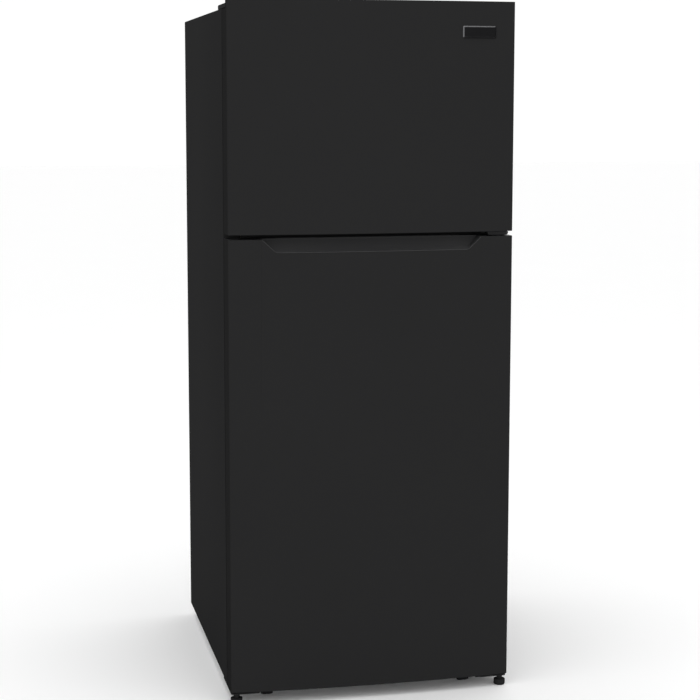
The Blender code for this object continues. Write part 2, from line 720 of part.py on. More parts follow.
def fridge_door_top_cap(pivot):
    """The upper end of the lower door: the scooped hand recess, with a finger channel behind its crest."""
    cap = door_cap(FRIDGE_DOOR_TOP - CAP_HEIGHT, FRIDGE_DOOR_TOP)
    low = (-CHANNEL_HALF, DOOR_CORNER + 0.0325, FRIDGE_DOOR_TOP - 0.020)
    high = (CHANNEL_HALF, DOOR_CORNER + 0.0475, FRIDGE_DOOR_TOP + 0.1)
    cut(cap, scoop_space(), box(low, high), pin_bore(FRIDGE_DOOR_TOP - 0.013, FRIDGE_DOOR_TOP + 0.1))
    return finish(cap, "fridge_door_top_cap", "black_plastic", pivot)


def fridge_door_bottom_cap(pivot):
    cap = door_cap(FLOOR_GAP, FLOOR_GAP + SHORT_CAP)
    cut(cap, pin_bore(FLOOR_GAP - 0.1, FLOOR_GAP + 0.012))
    return finish(cap, "fridge_door_bottom_cap", "black_plastic", pivot)


def dike_ring(frame, inset, back, front):
    """The raised border on a door's inner liner, as a rectangular ring."""
    side, bottom, top = frame
    outer = (side - inset, bottom + inset, top - inset)
    core = (side - DIKE_WIDTH + inset, bottom + DIKE_WIDTH - inset, top - DIKE_WIDTH + inset)
    ring = prism(rounded_rectangle(-outer[0], outer[1], outer[0], outer[2], 0.006 - inset, 3), "Y", front, back)
    inside = rounded_rectangle(-core[0], core[1], core[0], core[2], 0.002 + inset, 3)
    return cut(ring, prism(inside, "Y", front - 0.1, back + 0.1))


def door_foam(name, pivot, low, high, frame):
    foam = prism(door_outline(SKIN, DOOR_BACK - LINER - CLEAR), "Z", low, high)
    join(foam, dike_ring(frame, LINER + CLEAR, DOOR_BACK + DIKE_REACH - LINER - CLEAR, DOOR_BACK - 0.010))
    return finish(foam, name, "foam", pivot)


def door_liner(name, pivot, low, high, frame):
    side = HALF - 0.014
    liner = box((-side, DOOR_BACK - LINER, low), (side, DOOR_BACK, high))
    join(liner, dike_ring(frame, 0, DOOR_BACK + DIKE_REACH, DOOR_BACK - 0.001))
    cut(liner, dike_ring(frame, LINER, DOOR_BACK + DIKE_REACH - LINER, DOOR_BACK - 0.010))
    return finish(liner, name, "white_liner", pivot)


def door_gasket(name, pivot, low, high):
    """The magnetic seal, a ring that closes the space between a door and the cabinet."""
    outer_side = HALF - 0.017
    start = DOOR_BACK + CLEAR
    end = CABINET_FRONT - 0.0005
    ring = prism(rounded_rectangle(-outer_side, low, outer_side, high, 0.006), "Y", start, end)
    inner_side = outer_side - SEAL_WIDTH
    inner = rounded_rectangle(-inner_side, low + SEAL_WIDTH, inner_side, high - SEAL_WIDTH, 0.004)
    cut(ring, prism(inner, "Y", start - 0.1, end + 0.1))
    return finish(ring, name, "seal_rubber", pivot)


def door_bin(name, pivot, half_width, bottom, height, reach):
    """An open-topped bin between the sides of a door's raised border."""
    wall = 0.0024
    front = DOOR_BACK + CLEAR
    back = DOOR_BACK + reach
    outer = rounded_rectangle(-half_width, front, half_width, back, 0.003, 3)
    inner = rounded_rectangle(-half_width + wall, front + wall, half_width - wall, back - wall, 0.001, 2)
    tray = prism(outer, "Z", bottom, bottom + height)
    cut(tray, prism(inner, "Z", bottom + wall, bottom + height + 0.1))
    return finish(tray, name, "clear_plastic", pivot)


def badge(pivot):
    """A blank rectangular plate on the upper door, with a bevelled rim."""
    side = BADGE_WIDTH / 2
    top = BADGE_HEIGHT / 2
    rim = 0.0016
    lean = math.asin(BADGE_X / BOW_RADIUS)
    surface_y = FRONT + BOW_RADIUS - math.sqrt(BOW_RADIUS**2 - BADGE_X**2)
    plate = prism(rounded_rectangle(-side, -top, side, top, 0.0015, 3), "Y", -0.0024, -CLEAR)
    face = rounded_rectangle(-side + rim, -top + rim, side - rim, top - rim, 0.001, 3)
    cut(plate, prism(face, "Y", -0.01, -0.0018))
    place = Matrix.Translation((BADGE_X, surface_y - 0.0001, BADGE_Z))
    plate.data.transform(place @ Matrix.Rotation(lean, 4, "Z"))
    return finish(plate, "badge_plate", "badge_metal", pivot)


# ---- inside the compartments -----------------------------------------------------------------
def glass_shelf(name, height):
    low = (-FRIDGE_WALL + 0.002, SHELF_FRONT, height + CLEAR)
    high = (FRIDGE_WALL - 0.002, SHELF_BACK, height + SHELF_THICKNESS)
    return finish(box(low, high), name, "glass")


def freezer_shelf():
    """A wire shelf: bars from front to back, joined by two cross bars and a front rail."""
    side = FREEZER_WALL - 0.003
    back_edge = 0.185
    shelf_high = (side, back_edge, FREEZER_SHELF + SHELF_THICKNESS)
    shelf = box((-side, SHELF_FRONT, FREEZER_SHELF + CLEAR), shelf_high)
    bars = 24
    bar = 0.006
    pitch = (2 * side - bar) / bars
    slots = bmesh.new()
    for index in range(bars):
        left = -side + bar + index * pitch
        for front, back in ((SHELF_FRONT + bar, 0.015), (0.020, back_edge - bar)):
            corners = bmesh.ops.create_cube(slots, size=1.0)["verts"]
            size = (pitch - bar, back - front, 0.1)
            centre = (left + (pitch - bar) / 2, (front + back) / 2, FREEZER_SHELF)
            bmesh.ops.scale(slots, vec=size, verts=corners)
            bmesh.ops.translate(slots, vec=centre, verts=corners)
    cut(shelf, new_object("slots", slots))
    return finish(shelf, "freezer_shelf", "white_plastic")


def evaporator_cover():
    """The panel at the back of the freezer, with air slots, a fan grille and the slider's slot."""
    low = (-FREEZER_WALL + 0.001, COVER_FACE, FREEZER_FLOOR + 0.001)
    high = (FREEZER_WALL - 0.001, COVER_FACE + 0.0025, FREEZER_CEILING - 0.001)
    panel = box(low, high)
    before = COVER_FACE - 0.1
    behind = COVER_FACE + 0.1
    slots = []
    for row in range(9):
        offset = (row - 4) * 0.011
        half = math.sqrt(0.050**2 - offset**2)
        height = FAN_Z + offset
        slots.append(box((-half, before, height - 0.003), (half, behind, height + 0.003)))
    for row in range(3):
        height = FREEZER_FLOOR + 0.014 + row * 0.010
        slots.append(box((-0.180, before, height), (0.180, behind, height + 0.005)))
    slider_low = (SLIDER_X - 0.030, before, SLIDER_Z - 0.0025)
    slots.append(box(slider_low, (SLIDER_X + 0.030, behind, SLIDER_Z + 0.0025)))
    return finish(cut(panel, *slots), "evaporator_cover", "white_plastic")


def evaporator():
    """The finned coil: upright fins standing off a tube plate."""
    fins = 26
    pitch = 0.0144
    half = fins * pitch / 2
    outline = [(half, 0.268), (-half, 0.268), (-half, 0.262)]
    for index in range(fins):
        left = -half + index * pitch + 0.006
        outline += [(left, 0.262), (left, 0.230), (left + 0.002, 0.230), (left + 0.002, 0.262)]
    outline.append((half, 0.262))
    comb = prism(outline, "Z", 1.035, 1.215)
    return finish(comb, "evaporator", "aluminium")


def fan_motor():
    can = cylinder((0, 0, FAN_Z), 0.022, FAN_Y + 0.012, FREEZER_REAR - CLEAR, "Y", 20)
    foot = box((-0.034, FREEZER_REAR - 0.004, FAN_Z - 0.010), (0.034, FREEZER_REAR - CLEAR, FAN_Z + 0.010))
    join(can, foot)
    cut(can, cylinder((0, 0, FAN_Z), 0.0023, FAN_Y, FAN_Y + 0.030, "Y", 12))
    return finish(can, "fan_motor", "black_plastic")


def fan():
    """The evaporator fan: a hub with four twisted blades, and its shaft."""
    pivot = pivot_at("fan_axis", (0, FAN_Y, FAN_Z))
    hub = cylinder((0, 0, FAN_Z), 0.013, FAN_Y - 0.008, FAN_Y + 0.009, "Y", 20)
    pieces = [cylinder((0, 0, FAN_Z), 0.002, FAN_Y + 0.008, FAN_Y + 0.026, "Y", 12)]
    for index in range(4):
        blade = box((0.010, -0.001, -0.014), (0.046, 0.001, 0.014))
        spin = Matrix.Rotation(math.radians(90 * index), 4, "Y")
        twist = Matrix.Rotation(math.radians(28), 4, "X")
        blade.data.transform(Matrix.Translation((0, FAN_Y, FAN_Z)) @ spin @ twist)
        pieces.append(blade)
    return finish(join(hub, *pieces), "fan", "black_plastic", pivot)


def freezer_control():
    """The slider that sets how much cold air goes to the lower compartment."""
    pivot = pivot_at("freezer_control_axis", (SLIDER_X, COVER_FACE, SLIDER_Z))
    side = 0.010
    top = 0.007
    outline = rounded_rectangle(SLIDER_X - side, SLIDER_Z - top, SLIDER_X + side, SLIDER_Z + top, 0.003, 3)
    grip = prism(outline, "Y", COVER_FACE - 0.010, COVER_FACE - CLEAR)
    stem_low = (SLIDER_X - 0.004, COVER_FACE - 0.001, SLIDER_Z - 0.002)
    stem = box(stem_low, (SLIDER_X + 0.004, COVER_FACE + 0.005, SLIDER_Z + 0.002))
    return finish(join(grip, stem), "freezer_control", "white_plastic", pivot)


def control_housing():
    """The box under the lower compartment's ceiling that holds the thermostat and the lamp."""
    top = FRIDGE_CEILING - CLEAR
    back = HOUSING_FRONT + 0.150
    profile = [(HOUSING_FRONT, HOUSING_BOTTOM), (HOUSING_FRONT + 0.090, HOUSING_BOTTOM)]
    profile += [(back, HOUSING_BOTTOM + 0.014), (back, top), (HOUSING_FRONT, top)]
    case = prism(profile, "X", -HOUSING_HALF, HOUSING_HALF)
    bay_low = (LAMP_LEFT, HOUSING_FRONT + 0.006, FRIDGE_CEILING - 0.1)
    bay = box(bay_low, (LAMP_RIGHT, HOUSING_FRONT + 0.080, FRIDGE_CEILING - 0.014))
    stem_hole = cylinder((KNOB_X, 0, KNOB_Z), 0.0043, HOUSING_FRONT - 0.02, HOUSING_FRONT + 0.020, "Y", 20)
    cut(case, bay, stem_hole)
    return finish(case, "control_housing", "white_plastic")


def lamp_lens():
    wall = 0.002
    low = (LAMP_LEFT + SEAM, HOUSING_FRONT + 0.0065, HOUSING_BOTTOM)
    high = (LAMP_RIGHT - SEAM, HOUSING_FRONT + 0.0795, HOUSING_BOTTOM + 0.014)
    lens = box(low, high)
    hollow_low = (low[0] + wall, low[1] + wall, low[2] + wall)
    hollow = box(hollow_low, (high[0] - wall, high[1] - wall, high[2] + 0.1))
    return finish(cut(lens, hollow), "lamp_lens", "clear_plastic")


def temperature_knob():
    pivot = pivot_at("temperature_knob_axis", (KNOB_X, HOUSING_FRONT, KNOB_Z))
    axis = (KNOB_X, 0, KNOB_Z)
    disc = cylinder(axis, KNOB_RADIUS, HOUSING_FRONT - 0.010, HOUSING_FRONT - CLEAR, "Y", 32)
    reach = KNOB_RADIUS - 0.001
    outline = rounded_rectangle(KNOB_X - 0.003, KNOB_Z - reach, KNOB_X + 0.003, KNOB_Z + reach, 0.002, 2)
    grip = prism(outline, "Y", HOUSING_FRONT - 0.017, HOUSING_FRONT - 0.009)
    stem = cylinder(axis, 0.0040, HOUSING_FRONT - 0.001, HOUSING_FRONT + 0.018, "Y", 16)
    return finish(join(disc, grip, stem), "temperature_knob", "white_plastic", pivot)


def crisper_cover():
    """The glass over the drawer, which is also the lowest shelf."""
    low = (-FRIDGE_WALL + 0.002, DRAWER_FRONT - 0.004, CRISPER_LID + CLEAR)
    high = (FRIDGE_WALL - 0.002, SHELF_BACK, CRISPER_LID + SHELF_THICKNESS)
    return finish(box(low, high), "crisper_cover", "glass")


def crisper_drawer():
    pivot = pivot_at("crisper_drawer_axis", (0, DRAWER_FRONT, FRIDGE_FLOOR))
    wall = 0.0028
    side = FRIDGE_WALL - 0.013
    bottom = FRIDGE_FLOOR + CLEAR
    top = CRISPER_LID - 0.012
    back = STEP_FRONT - 0.004
    shell = prism(rounded_rectangle(-side, DRAWER_FRONT, side, back, 0.012), "Z", bottom, top)
    inner = rounded_rectangle(-side + wall, DRAWER_FRONT + wall, side - wall, back - wall, 0.009)
    cut(shell, prism(inner, "Z", bottom + wall, top + 0.1))
    lip_back = DRAWER_FRONT + 0.001
    lip_front = DRAWER_FRONT - 0.011
    lip = [(lip_back, top - 0.022), (lip_front, top - 0.006), (lip_front, top), (lip_back, top)]
    join(shell, prism(lip, "X", -0.130, 0.130))
    return finish(shell, "crisper_drawer", "clear_plastic", pivot)


# ---- machinery at the back -------------------------------------------------------------------
def compressor():
    """A welded steel shell on a mounting plate with four grommets."""
    radius = COMPRESSOR_RADIUS
    low = PAN_TOP + 0.016
    seam = radius + 0.003
    profile = [(0, low), (radius * 0.80, low), (radius * 0.97, low + 0.018), (radius, low + 0.040)]
    profile += [(radius, low + 0.088), (seam, low + 0.089), (seam, low + 0.095), (radius, low + 0.096)]
    profile += [(radius * 0.99, low + 0.110), (radius * 0.86, low + 0.138)]
    profile += [(radius * 0.55, low + 0.155), (0, low + 0.161)]
    shell = turned(profile, (COMPRESSOR_X, COMPRESSOR_Y, 0), "Z", 32)
    plate_low = low - 0.004
    plate_half = 0.095
    outline = rounded_rectangle(
        COMPRESSOR_X - plate_half, COMPRESSOR_Y - radius, COMPRESSOR_X + plate_half, COMPRESSOR_Y + radius, 0.012
    )
    pieces = [prism(outline, "Z", plate_low, low + 0.001)]
    for x_side in (-1, 1):
        for y_side in (-1, 1):
            foot_x = COMPRESSOR_X + x_side * (plate_half - 0.013)
            foot_y = COMPRESSOR_Y + y_side * (radius - 0.014)
            pieces.append(cylinder((foot_x, foot_y, 0), 0.010, PAN_TOP + CLEAR, plate_low + 0.001, segments=16))
    return finish(join(shell, *pieces), "compressor", "black_enamel")


def terminal_cover():
    left = COMPRESSOR_X + COMPRESSOR_RADIUS + 0.0045
    outline = rounded_rectangle(left, COMPRESSOR_Y - 0.024, left + 0.034, COMPRESSOR_Y + 0.024, 0.005)
    return finish(prism(outline, "Z", 0.085, 0.150), "compressor_terminal_cover", "black_plastic")


def filter_dryer():
    profile = [(0, -0.060), (0.0035, -0.060), (0.0035, -0.050), (0.010, -0.038), (0.010, 0.038)]
    profile += [(0.0035, 0.050), (0.0035, 0.060), (0, 0.060)]
    return finish(turned(profile, (0.010, 0.200, 0.165), "Z", 16), "filter_dryer", "copper")


def drip_tray():
    """The tray beside the compressor that catches the defrost water."""
    wall = 0.002
    bottom = PAN_TOP + CLEAR
    outline = rounded_rectangle(TRAY_LEFT, TRAY_FRONT, TRAY_RIGHT, TRAY_BACK, 0.012)
    tray = prism(outline, "Z", bottom, TRAY_TOP)
    inner = rounded_rectangle(TRAY_LEFT + wall, TRAY_FRONT + wall, TRAY_RIGHT - wall, TRAY_BACK - wall, 0.010)
    cut(tray, prism(inner, "Z", bottom + wall, TRAY_TOP + 0.1))
    return finish(tray, "drip_tray", "black_plastic")


def cord_gland():
    """The bracket and bush where the supply lead leaves the machine space."""
    plate = box((-0.020, GLAND_Y - 0.001, PAN_TOP + CLEAR), (0.020, GLAND_Y + 0.001, TRAY_TOP))
    join(plate, cylinder((0, 0, GLAND_Z), 0.010, GLAND_Y - 0.005, GLAND_Y + 0.005, "Y", 20))
    cut(plate, cylinder((0, 0, GLAND_Z), 0.0045, GLAND_Y - 0.03, GLAND_Y + 0.03, "Y", 16))
    return finish(plate, "cord_gland", "black_plastic")


def discharge_tube():
    """The pipe from the compressor's back to the condenser in the side wall."""
    wall_side = -MACHINE_WALL + 0.008
    route = [
        (COMPRESSOR_X - 0.020, 0.300, 0.165),
        (COMPRESSOR_X - 0.018, 0.3055, 0.195),
        (COMPRESSOR_X - 0.040, 0.306, 0.225),
        (COMPRESSOR_X - 0.070, 0.300, 0.236),
        (wall_side + 0.014, 0.270, 0.230),
        (wall_side + 0.001, 0.230, 0.200),
        (wall_side, 0.220, 0.120),
    ]
    return tube("discharge_tube", "copper", route, 0.003)


# ---- assembly --------------------------------------------------------------------------------
def build_cabinet():
    cabinet_shell()
    insulation()
    back_panel()
    freezer_liner()
    fridge_liner()
    mullion_cover()
    base_pan()
    top_hinge()
    top_hinge_cover()
    left_top_cover()
    middle_hinge()
    foot_bracket("bottom_hinge", 1, True)
    foot_bracket("left_foot_bracket", -1, False)


def build_inside():
    freezer_shelf()
    evaporator_cover()
    evaporator()
    fan_motor()
    fan()
    freezer_control()
    control_housing()
    lamp_lens()
    temperature_knob()
    for label, height in FRIDGE_SHELVES.items():
        glass_shelf("fridge_shelf_" + label, height)
    crisper_cover()
    crisper_drawer()


def build_machinery():
    compressor()
    terminal_cover()
    filter_dryer()
    drip_tray()
    cord_gland()
    discharge_tube()


def build_freezer_door():
    pivot = pivot_at("freezer_door_hinge", (PIN_X, PIN_Y, FREEZER_DOOR_BOTTOM))
    low = FREEZER_DOOR_BOTTOM + CAP_HEIGHT + CLEAR
    high = DOOR_STEP_TOP - SHORT_CAP - 0.003 - CLEAR
    freezer_door_panel(pivot)
    freezer_door_top_cap(pivot)
    freezer_door_bottom_cap(pivot)
    door_foam("freezer_door_foam", pivot, low, high, FREEZER_DIKE)
    door_liner("freezer_door_liner", pivot, FREEZER_DOOR_BOTTOM + SEAM, DOOR_STEP_TOP - SEAM, FREEZER_DIKE)
    door_gasket("freezer_door_gasket", pivot, FREEZER_DOOR_BOTTOM + 0.010, DOOR_STEP_TOP - 0.010)
    half = FREEZER_DIKE[0] - DIKE_WIDTH - 0.001
    for label, (bottom, height, reach) in FREEZER_BINS.items():
        door_bin("freezer_door_bin_" + label, pivot, half, bottom, height, reach)
    badge(pivot)


def build_fridge_door():
    pivot = pivot_at("fridge_door_hinge", (PIN_X, PIN_Y, FLOOR_GAP))
    low = FLOOR_GAP + SHORT_CAP + CLEAR
    high = FRIDGE_DOOR_TOP - CAP_HEIGHT - CLEAR
    fridge_door_panel(pivot)
    fridge_door_top_cap(pivot)
    fridge_door_bottom_cap(pivot)
    door_foam("fridge_door_foam", pivot, low, high, FRIDGE_DIKE)
    door_liner("fridge_door_liner", pivot, FLOOR_GAP + SEAM, FRIDGE_DOOR_TOP - SEAM, FRIDGE_DIKE)
    door_gasket("fridge_door_gasket", pivot, FLOOR_GAP + 0.010, FRIDGE_DOOR_TOP - 0.010)
    half = FRIDGE_DIKE[0] - DIKE_WIDTH - 0.001
    for label, (bottom, height, reach) in FRIDGE_BINS.items():
        door_bin("fridge_door_bin_" + label, pivot, half, bottom, height, reach)


def build_rollers_and_feet():
    for name, place in ROLLERS.items():
        roller(name, place)
    levelling_foot("foot_right", 1)
    levelling_foot("foot_left", -1)


clear_scene()
build_cabinet()
build_inside()
build_machinery()
build_freezer_door()
build_fridge_door()
build_rollers_and_feet()
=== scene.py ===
"""The looks of the top freezer refrigerator: finer pieces over the frame, materials, light and camera."""

import json
import math

import bmesh
import bpy
from mathutils import Matrix, Vector


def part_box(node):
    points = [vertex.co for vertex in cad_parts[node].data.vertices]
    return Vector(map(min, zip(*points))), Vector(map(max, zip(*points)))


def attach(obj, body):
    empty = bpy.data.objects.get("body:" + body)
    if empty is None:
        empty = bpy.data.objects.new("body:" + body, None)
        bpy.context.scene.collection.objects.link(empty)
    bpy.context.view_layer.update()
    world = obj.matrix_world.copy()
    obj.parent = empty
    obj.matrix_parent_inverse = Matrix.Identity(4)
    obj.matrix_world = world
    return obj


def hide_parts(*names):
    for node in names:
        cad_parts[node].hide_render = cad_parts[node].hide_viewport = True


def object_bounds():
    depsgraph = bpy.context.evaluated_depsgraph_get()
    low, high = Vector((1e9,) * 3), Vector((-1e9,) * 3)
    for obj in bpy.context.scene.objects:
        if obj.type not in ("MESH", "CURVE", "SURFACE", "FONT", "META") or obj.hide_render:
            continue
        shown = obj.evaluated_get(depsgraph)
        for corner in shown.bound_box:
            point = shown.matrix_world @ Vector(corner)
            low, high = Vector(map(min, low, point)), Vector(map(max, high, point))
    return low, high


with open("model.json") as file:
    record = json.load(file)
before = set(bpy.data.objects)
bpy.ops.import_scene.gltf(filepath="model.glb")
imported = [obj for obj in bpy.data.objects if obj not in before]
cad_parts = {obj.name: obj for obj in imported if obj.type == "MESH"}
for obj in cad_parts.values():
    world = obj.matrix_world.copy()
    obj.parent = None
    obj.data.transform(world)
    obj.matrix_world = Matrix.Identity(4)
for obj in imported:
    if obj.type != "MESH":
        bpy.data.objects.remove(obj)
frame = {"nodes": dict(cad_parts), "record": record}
cad_low, cad_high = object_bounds()
NODES = frame["nodes"]
BODY_OF = {node: body for body, nodes in frame["record"]["behaviour"]["bodies"].items() for node in nodes}
SLOT_OF = {row["node"]: row["material_slot"] for row in frame["record"]["subparts"]}


# ---- sizes, read from the frame --------------------------------------------------------------
HALF = cad_high.x
FRONT = cad_low.y
BACK = cad_high.y
PANEL_LOW, PANEL_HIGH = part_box("fridge_door_panel")
UPPER_LOW, UPPER_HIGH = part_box("freezer_door_panel")
CAP_LOW, CAP_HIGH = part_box("fridge_door_top_cap")
UPPER_CAP_LOW, UPPER_CAP_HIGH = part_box("freezer_door_top_cap")
GRIP_LOW, GRIP_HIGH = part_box("freezer_door_bottom_cap")
CABINET_LOW, CABINET_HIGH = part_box("cabinet_shell")
DOOR_BACK = PANEL_HIGH.y
DOOR_TOP = PANEL_HIGH.z
BOW = 0.0128
DOOR_CORNER = FRONT + BOW
BOW_RADIUS = (HALF**2 + BOW**2) / (2 * BOW)
LIP_BACK = DOOR_CORNER + 0.013
STEP_TOP = CABINET_HIGH.z - 0.0015
PIN = (HALF - 0.014, DOOR_CORNER + 0.027)
SHEET = 0.001
SCOOP_DEPTH = 0.0265
SCOOP_RUN = 0.030
SCOOP_BOTTOM_HALF = 0.2025
SCOOP_TOP_HALF = 0.231
SCOOP_SLANT = (SCOOP_TOP_HALF - SCOOP_BOTTOM_HALF) / SCOOP_DEPTH
CAP_INSET = HALF - CAP_HIGH.x
DOOR_FILLET = 0.0035
BOW_STEPS = 72
CHANNEL_HALF = 0.200
PIN_BORE_RADIUS = 0.0041
PAD_HEIGHT = 0.0125
DRAWER_FACE = -0.140
DUCT_BACK = 0.2805
MACHINE_WALL = 0.284
MACHINE_TOP = 0.250
MACHINE_FRONT = 0.127
MACHINE_KNEE = 0.100
MACHINE_LEAN = 0.038
MACHINE_FLOOR = CABINET_LOW.z + 0.0015
RAIL_TOP = MACHINE_TOP + 0.0035
COMPRESSOR_RADIUS = 0.068
COMPRESSOR_HEIGHT = 0.161
BACK_SCREW_RADIUS = 0.0038


# ---- materials -------------------------------------------------------------------------------
class Shader:
    """A Principled material with helpers for the node patterns that several finishes share."""

    def __init__(self, name, colour, roughness, metallic=0.0):
        self.material = bpy.data.materials.new(name)
        self.material.use_nodes = True
        self.tree = self.material.node_tree
        self.surface = self.tree.nodes["Principled BSDF"]
        self.surface.inputs["Base Color"].default_value = (*colour, 1.0)
        self.surface.inputs["Roughness"].default_value = roughness
        self.surface.inputs["Metallic"].default_value = metallic
        self.place = self.tree.nodes.new("ShaderNodeTexCoord").outputs["Object"]

    def set(self, **values):
        for name, value in values.items():
            self.surface.inputs[name].default_value = value
        return self

    def stretched(self, scale):
        mapping = self.tree.nodes.new("ShaderNodeMapping")
        mapping.inputs["Scale"].default_value = scale
        self.tree.links.new(self.place, mapping.inputs["Vector"])
        return mapping.outputs["Vector"]

    def noise(self, scale, detail=2.0, stretch=None):
        node = self.tree.nodes.new("ShaderNodeTexNoise")
        node.inputs["Scale"].default_value = scale
        node.inputs["Detail"].default_value = detail
        source = self.stretched(stretch) if stretch else self.place
        self.tree.links.new(source, node.inputs["Vector"])
        return node.outputs["Fac"]

    def cells(self, scale):
        node = self.tree.nodes.new("ShaderNodeTexVoronoi")
        node.inputs["Scale"].default_value = scale
        self.tree.links.new(self.place, node.inputs["Vector"])
        return node.outputs["Color"]

    def spread(self, source, low, high, start=0.3, end=0.7):
        node = self.tree.nodes.new("ShaderNodeMapRange")
        node.inputs["From Min"].default_value = start
        node.inputs["From Max"].default_value = end
        node.inputs["To Min"].default_value = low
        node.inputs["To Max"].default_value = high
        self.tree.links.new(source, node.inputs["Value"])
        return node.outputs["Result"]

    def mottle(self, source, dark, light, start=0.3, end=0.7):
        """Base colour that wanders between two tones."""
        node = self.tree.nodes.new("ShaderNodeMix")
        node.data_type = "RGBA"
        node.inputs["A"].default_value = (*dark, 1.0)
        node.inputs["B"].default_value = (*light, 1.0)
        self.tree.links.new(self.spread(source, 0.0, 1.0, start, end), node.inputs["Factor"])
        self.tree.links.new(node.outputs["Result"], self.surface.inputs["Base Color"])
        return self

    def vary_roughness(self, source, low, high):
        self.tree.links.new(self.spread(source, low, high), self.surface.inputs["Roughness"])
        return self

    def emboss(self, source, height, strength=0.5):
        node = self.tree.nodes.new("ShaderNodeBump")
        node.inputs["Distance"].default_value = height
        node.inputs["Strength"].default_value = strength
        self.tree.links.new(source, node.inputs["Height"])
        self.tree.links.new(node.outputs["Normal"], self.surface.inputs["Normal"])
        return self


def enamel(name, tone, blue, coat, coat_roughness, grain):
    """Appliance enamel: a nearly flat near-black with a fine orange peel under a thin coat."""
    wander = 0.0003
    look = Shader(name, (tone, tone, tone + blue), 0.6)
    look.set(**{"Specular IOR Level": 0.0, "Coat Weight": coat})
    look.set(**{"Coat Roughness": coat_roughness, "Coat IOR": 1.3})
    dark = tone - wander
    light = tone + wander
    look.mottle(look.noise(3.0, 3.0), (dark, dark, dark + blue), (light, light, light + blue))
    look.vary_roughness(look.noise(40.0, 4.0), 0.56, 0.64)
    return look.emboss(look.noise(grain, 3.0), 0.00006, 0.3)


def black_enamel():
    """The doors' fronts."""
    return enamel("black_enamel", 0.0172, 0.0003, 0.02, 0.35, 900.0)


def side_enamel_painted_shade():
    """The cabinet, with a coarser texture than the doors', and a darker tone than the doors' enamel: painted
    shade on the cabinet's sides.
    """
    return enamel("side_enamel_painted_shade", 0.0160, 0.0003, 0.03, 0.4, 700.0)


def door_edge_painted_shade():
    """A door's two long sides: the same enamel as its front, painted darker as painted shade for the lesser
    light that falls on them.
    """
    return enamel("door_edge_painted_shade", 0.0118, 0.0002, 0.02, 0.4, 900.0)


def black_plastic():
    look = Shader("black_plastic", (0.0155, 0.0155, 0.0160), 0.55)
    look.set(**{"Specular IOR Level": 0.0, "Coat Weight": 0.05, "Coat Roughness": 0.35, "Coat IOR": 1.35})
    look.mottle(look.noise(8.0, 3.0), (0.0148, 0.0148, 0.0153), (0.0162, 0.0162, 0.0167))
    look.vary_roughness(look.noise(60.0, 3.0), 0.50, 0.60)
    return look.emboss(look.noise(1400.0, 2.0), 0.00005, 0.3)


def scoop_plastic_painted_light():
    """The hand recess: the same plastic, a little smoother, with a much lighter colour that is painted light,
    standing in for the light that reaches into the recess under the upper door.
    """
    look = Shader("scoop_plastic_painted_light", (0.040, 0.040, 0.041), 0.45)
    look.set(**{"Specular IOR Level": 0.1})
    look.mottle(look.noise(5.0, 2.0), (0.0393, 0.0393, 0.0402), (0.0407, 0.0407, 0.0416))
    look.vary_roughness(look.noise(70.0, 3.0), 0.34, 0.42)
    return look.emboss(look.noise(1600.0, 2.0), 0.00004, 0.25)


def zinc_steel():
    """Hot-dip galvanised sheet with a faint spangle."""
    look = Shader("zinc_steel", (0.42, 0.43, 0.44), 0.42, 1.0)
    look.mottle(look.cells(55.0), (0.36, 0.37, 0.38), (0.48, 0.49, 0.50), 0.0, 1.0)
    look.vary_roughness(look.noise(90.0, 4.0), 0.34, 0.50)
    return look.emboss(look.noise(160.0, 3.0), 0.00006, 0.3)


def painted_back():
    """The back sheet, grey-primed steel with rolling marks."""
    look = Shader("painted_back", (0.055, 0.056, 0.058), 0.5)
    look.mottle(look.noise(12.0, 4.0, (1.0, 1.0, 0.15)), (0.048, 0.049, 0.051), (0.062, 0.063, 0.065))
    look.vary_roughness(look.noise(50.0, 4.0), 0.42, 0.56)
    return look.emboss(look.noise(350.0, 3.0), 0.0001, 0.3)


def white_liner():
    look = Shader("white_liner", (0.80, 0.82, 0.82), 0.28)
    look.mottle(look.noise(3.0, 1.0), (0.795, 0.815, 0.815), (0.805, 0.825, 0.825))
    look.vary_roughness(look.noise(3.0, 1.0), 0.28, 0.32)
    return look.emboss(look.noise(60.0, 1.0), 0.00003, 0.1)


def white_plastic():
    look = Shader("white_plastic", (0.76, 0.78, 0.78), 0.4)
    look.mottle(look.noise(20.0, 3.0), (0.74, 0.76, 0.76), (0.79, 0.805, 0.805))
    look.vary_roughness(look.noise(80.0, 3.0), 0.34, 0.46)
    return look.emboss(look.noise(1300.0, 2.0), 0.00004, 0.3)


def clear_plastic():
    look = Shader("clear_plastic", (0.86, 0.93, 0.95), 0.08)
    look.set(**{"Transmission Weight": 0.92, "IOR": 1.49})
    look.mottle(look.noise(10.0, 2.0), (0.83, 0.91, 0.93), (0.89, 0.95, 0.97))
    look.vary_roughness(look.noise(60.0, 3.0), 0.05, 0.12)
    return look.emboss(look.noise(200.0, 2.0), 0.00004, 0.2)


def shelf_glass():
    look = Shader("shelf_glass", (0.80, 0.93, 0.88), 0.03)
    look.set(**{"Transmission Weight": 0.95, "IOR": 1.5})
    look.mottle(look.noise(5.0, 2.0), (0.78, 0.92, 0.87), (0.83, 0.95, 0.90))
    look.vary_roughness(look.noise(120.0, 4.0), 0.02, 0.06)
    return look


def seal_rubber():
    look = Shader("seal_rubber", (0.10, 0.10, 0.105), 0.65)
    look.mottle(look.noise(40.0, 3.0), (0.085, 0.085, 0.09), (0.115, 0.115, 0.12))
    look.vary_roughness(look.noise(100.0, 3.0), 0.58, 0.72)
    return look.emboss(look.noise(1800.0, 2.0), 0.00005, 0.4)


def foam():
    look = Shader("foam", (0.80, 0.72, 0.50), 0.9)
    look.mottle(look.noise(60.0, 5.0), (0.74, 0.65, 0.42), (0.84, 0.77, 0.56))
    return look.emboss(look.noise(500.0, 4.0), 0.0004, 0.6)


